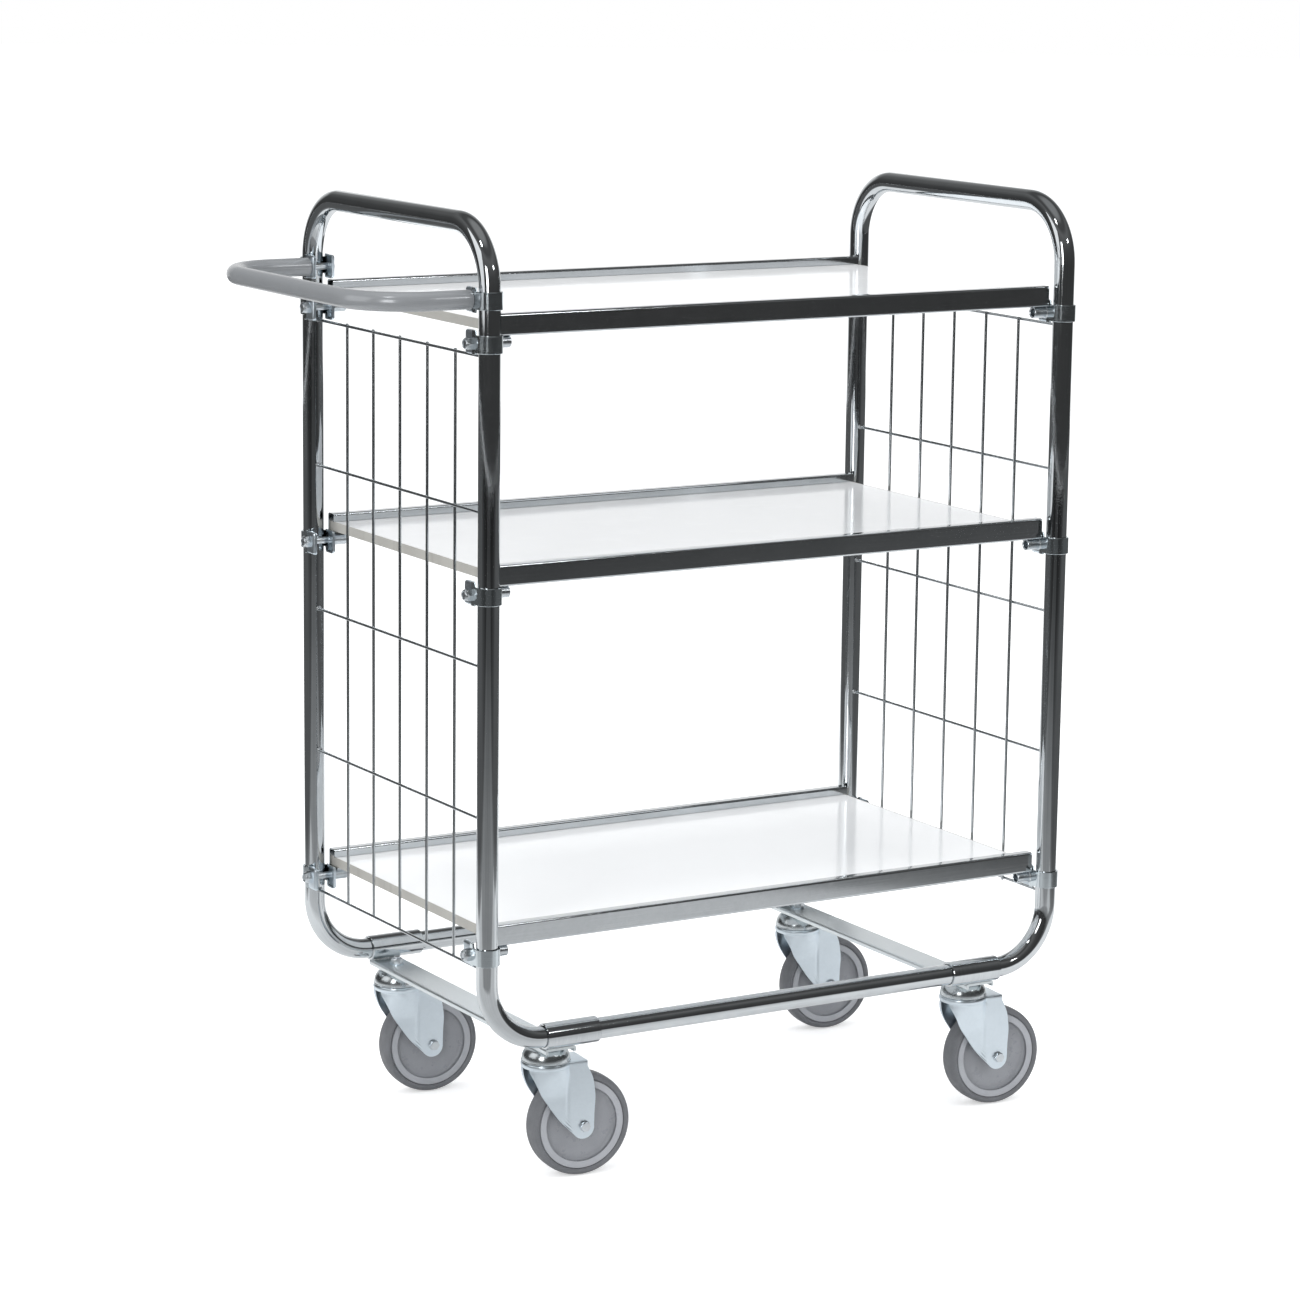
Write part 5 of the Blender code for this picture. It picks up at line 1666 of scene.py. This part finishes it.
rim_plastic = moulded_finish(
    "rim_plastic", low=(0.335, 0.345, 0.368), high=(0.39, 0.40, 0.425), smooth=0.26, rough=0.40,
    grain=1600.0, bump=0.10,
)
dish_plastic = moulded_finish(
    "dish_plastic", low=(0.255, 0.262, 0.282), high=(0.30, 0.308, 0.33), smooth=0.22, rough=0.36,
    grain=1300.0, bump=0.12,
)
tyre_rubber = moulded_finish(
    "tyre_rubber", low=(0.118, 0.122, 0.131), high=(0.158, 0.163, 0.175), smooth=0.40, rough=0.62,
    grain=900.0, bump=0.22,
)


def wheel_meshes():
    rim = turned("rim", mirrored(rim_section()), WHEEL_SIDES, on_axle, closed=True)
    dish = turned("dish", mirrored(dish_section()), WHEEL_SIDES, on_axle, closed=True)
    centre = joined("wheel_centre", [(rim, rim_plastic), (dish, dish_plastic)])
    half = tyre_section()
    section = half + [(radius, -reach) for radius, reach in reversed(half[:-1])]
    return centre, turned("tyre", section, WHEEL_SIDES, on_axle, closed=True)


wheel_centre, tyre = wheel_meshes()
axle = axle_mesh()
print("wheel faces:", len(wheel_centre.polygons) + len(tyre.polygons))

# %% [markdown]
# All four casters trail the same way, as they do after the trolley has been pushed a
# little: the wheels have swung round behind their swivel axes and stand at a small angle.

# %% Set the casters
CASTER_TURN = math.radians(-5)

for corner, side_x, side_y in CORNERS:
    on_fork, on_wheel = corner + "_caster", corner + "_wheel"
    spot = Matrix.Translation(middle + Vector((side_x * CASTER_X, side_y * CASTER_Y, 0)))
    swung = spot @ Matrix.Rotation(CASTER_TURN, 4, "Z")
    pieces = [
        ("dome", caster_head, spot, head_zinc, "bright_zinc", "frame", "caster_head"),
        ("beam_nut", beam_nut, spot, None, "satin_zinc", "frame", "caster_nut"),
        ("caster_fork", fork, swung, satin_zinc, "satin_zinc", on_fork, "fork"),
        ("axle_bolt", axle, swung, None, "satin_zinc", on_fork, "axle"),
        ("wheel_centre", wheel_centre, swung, None, "grey_plastic", on_wheel, "hub"),
        ("wheel_tyre", tyre, swung, tyre_rubber, "grey_rubber", on_wheel, "tyre"),
    ]
    for name, drawing, placing, finish, slot, body, solid in pieces:
        mesh = drawing.copy()
        mesh.transform(placing)
        add_piece(f"{corner}_{name}", mesh, finish, body, stands_for=(f"{corner}_{solid}",))
print("casters set:", len(CORNERS))
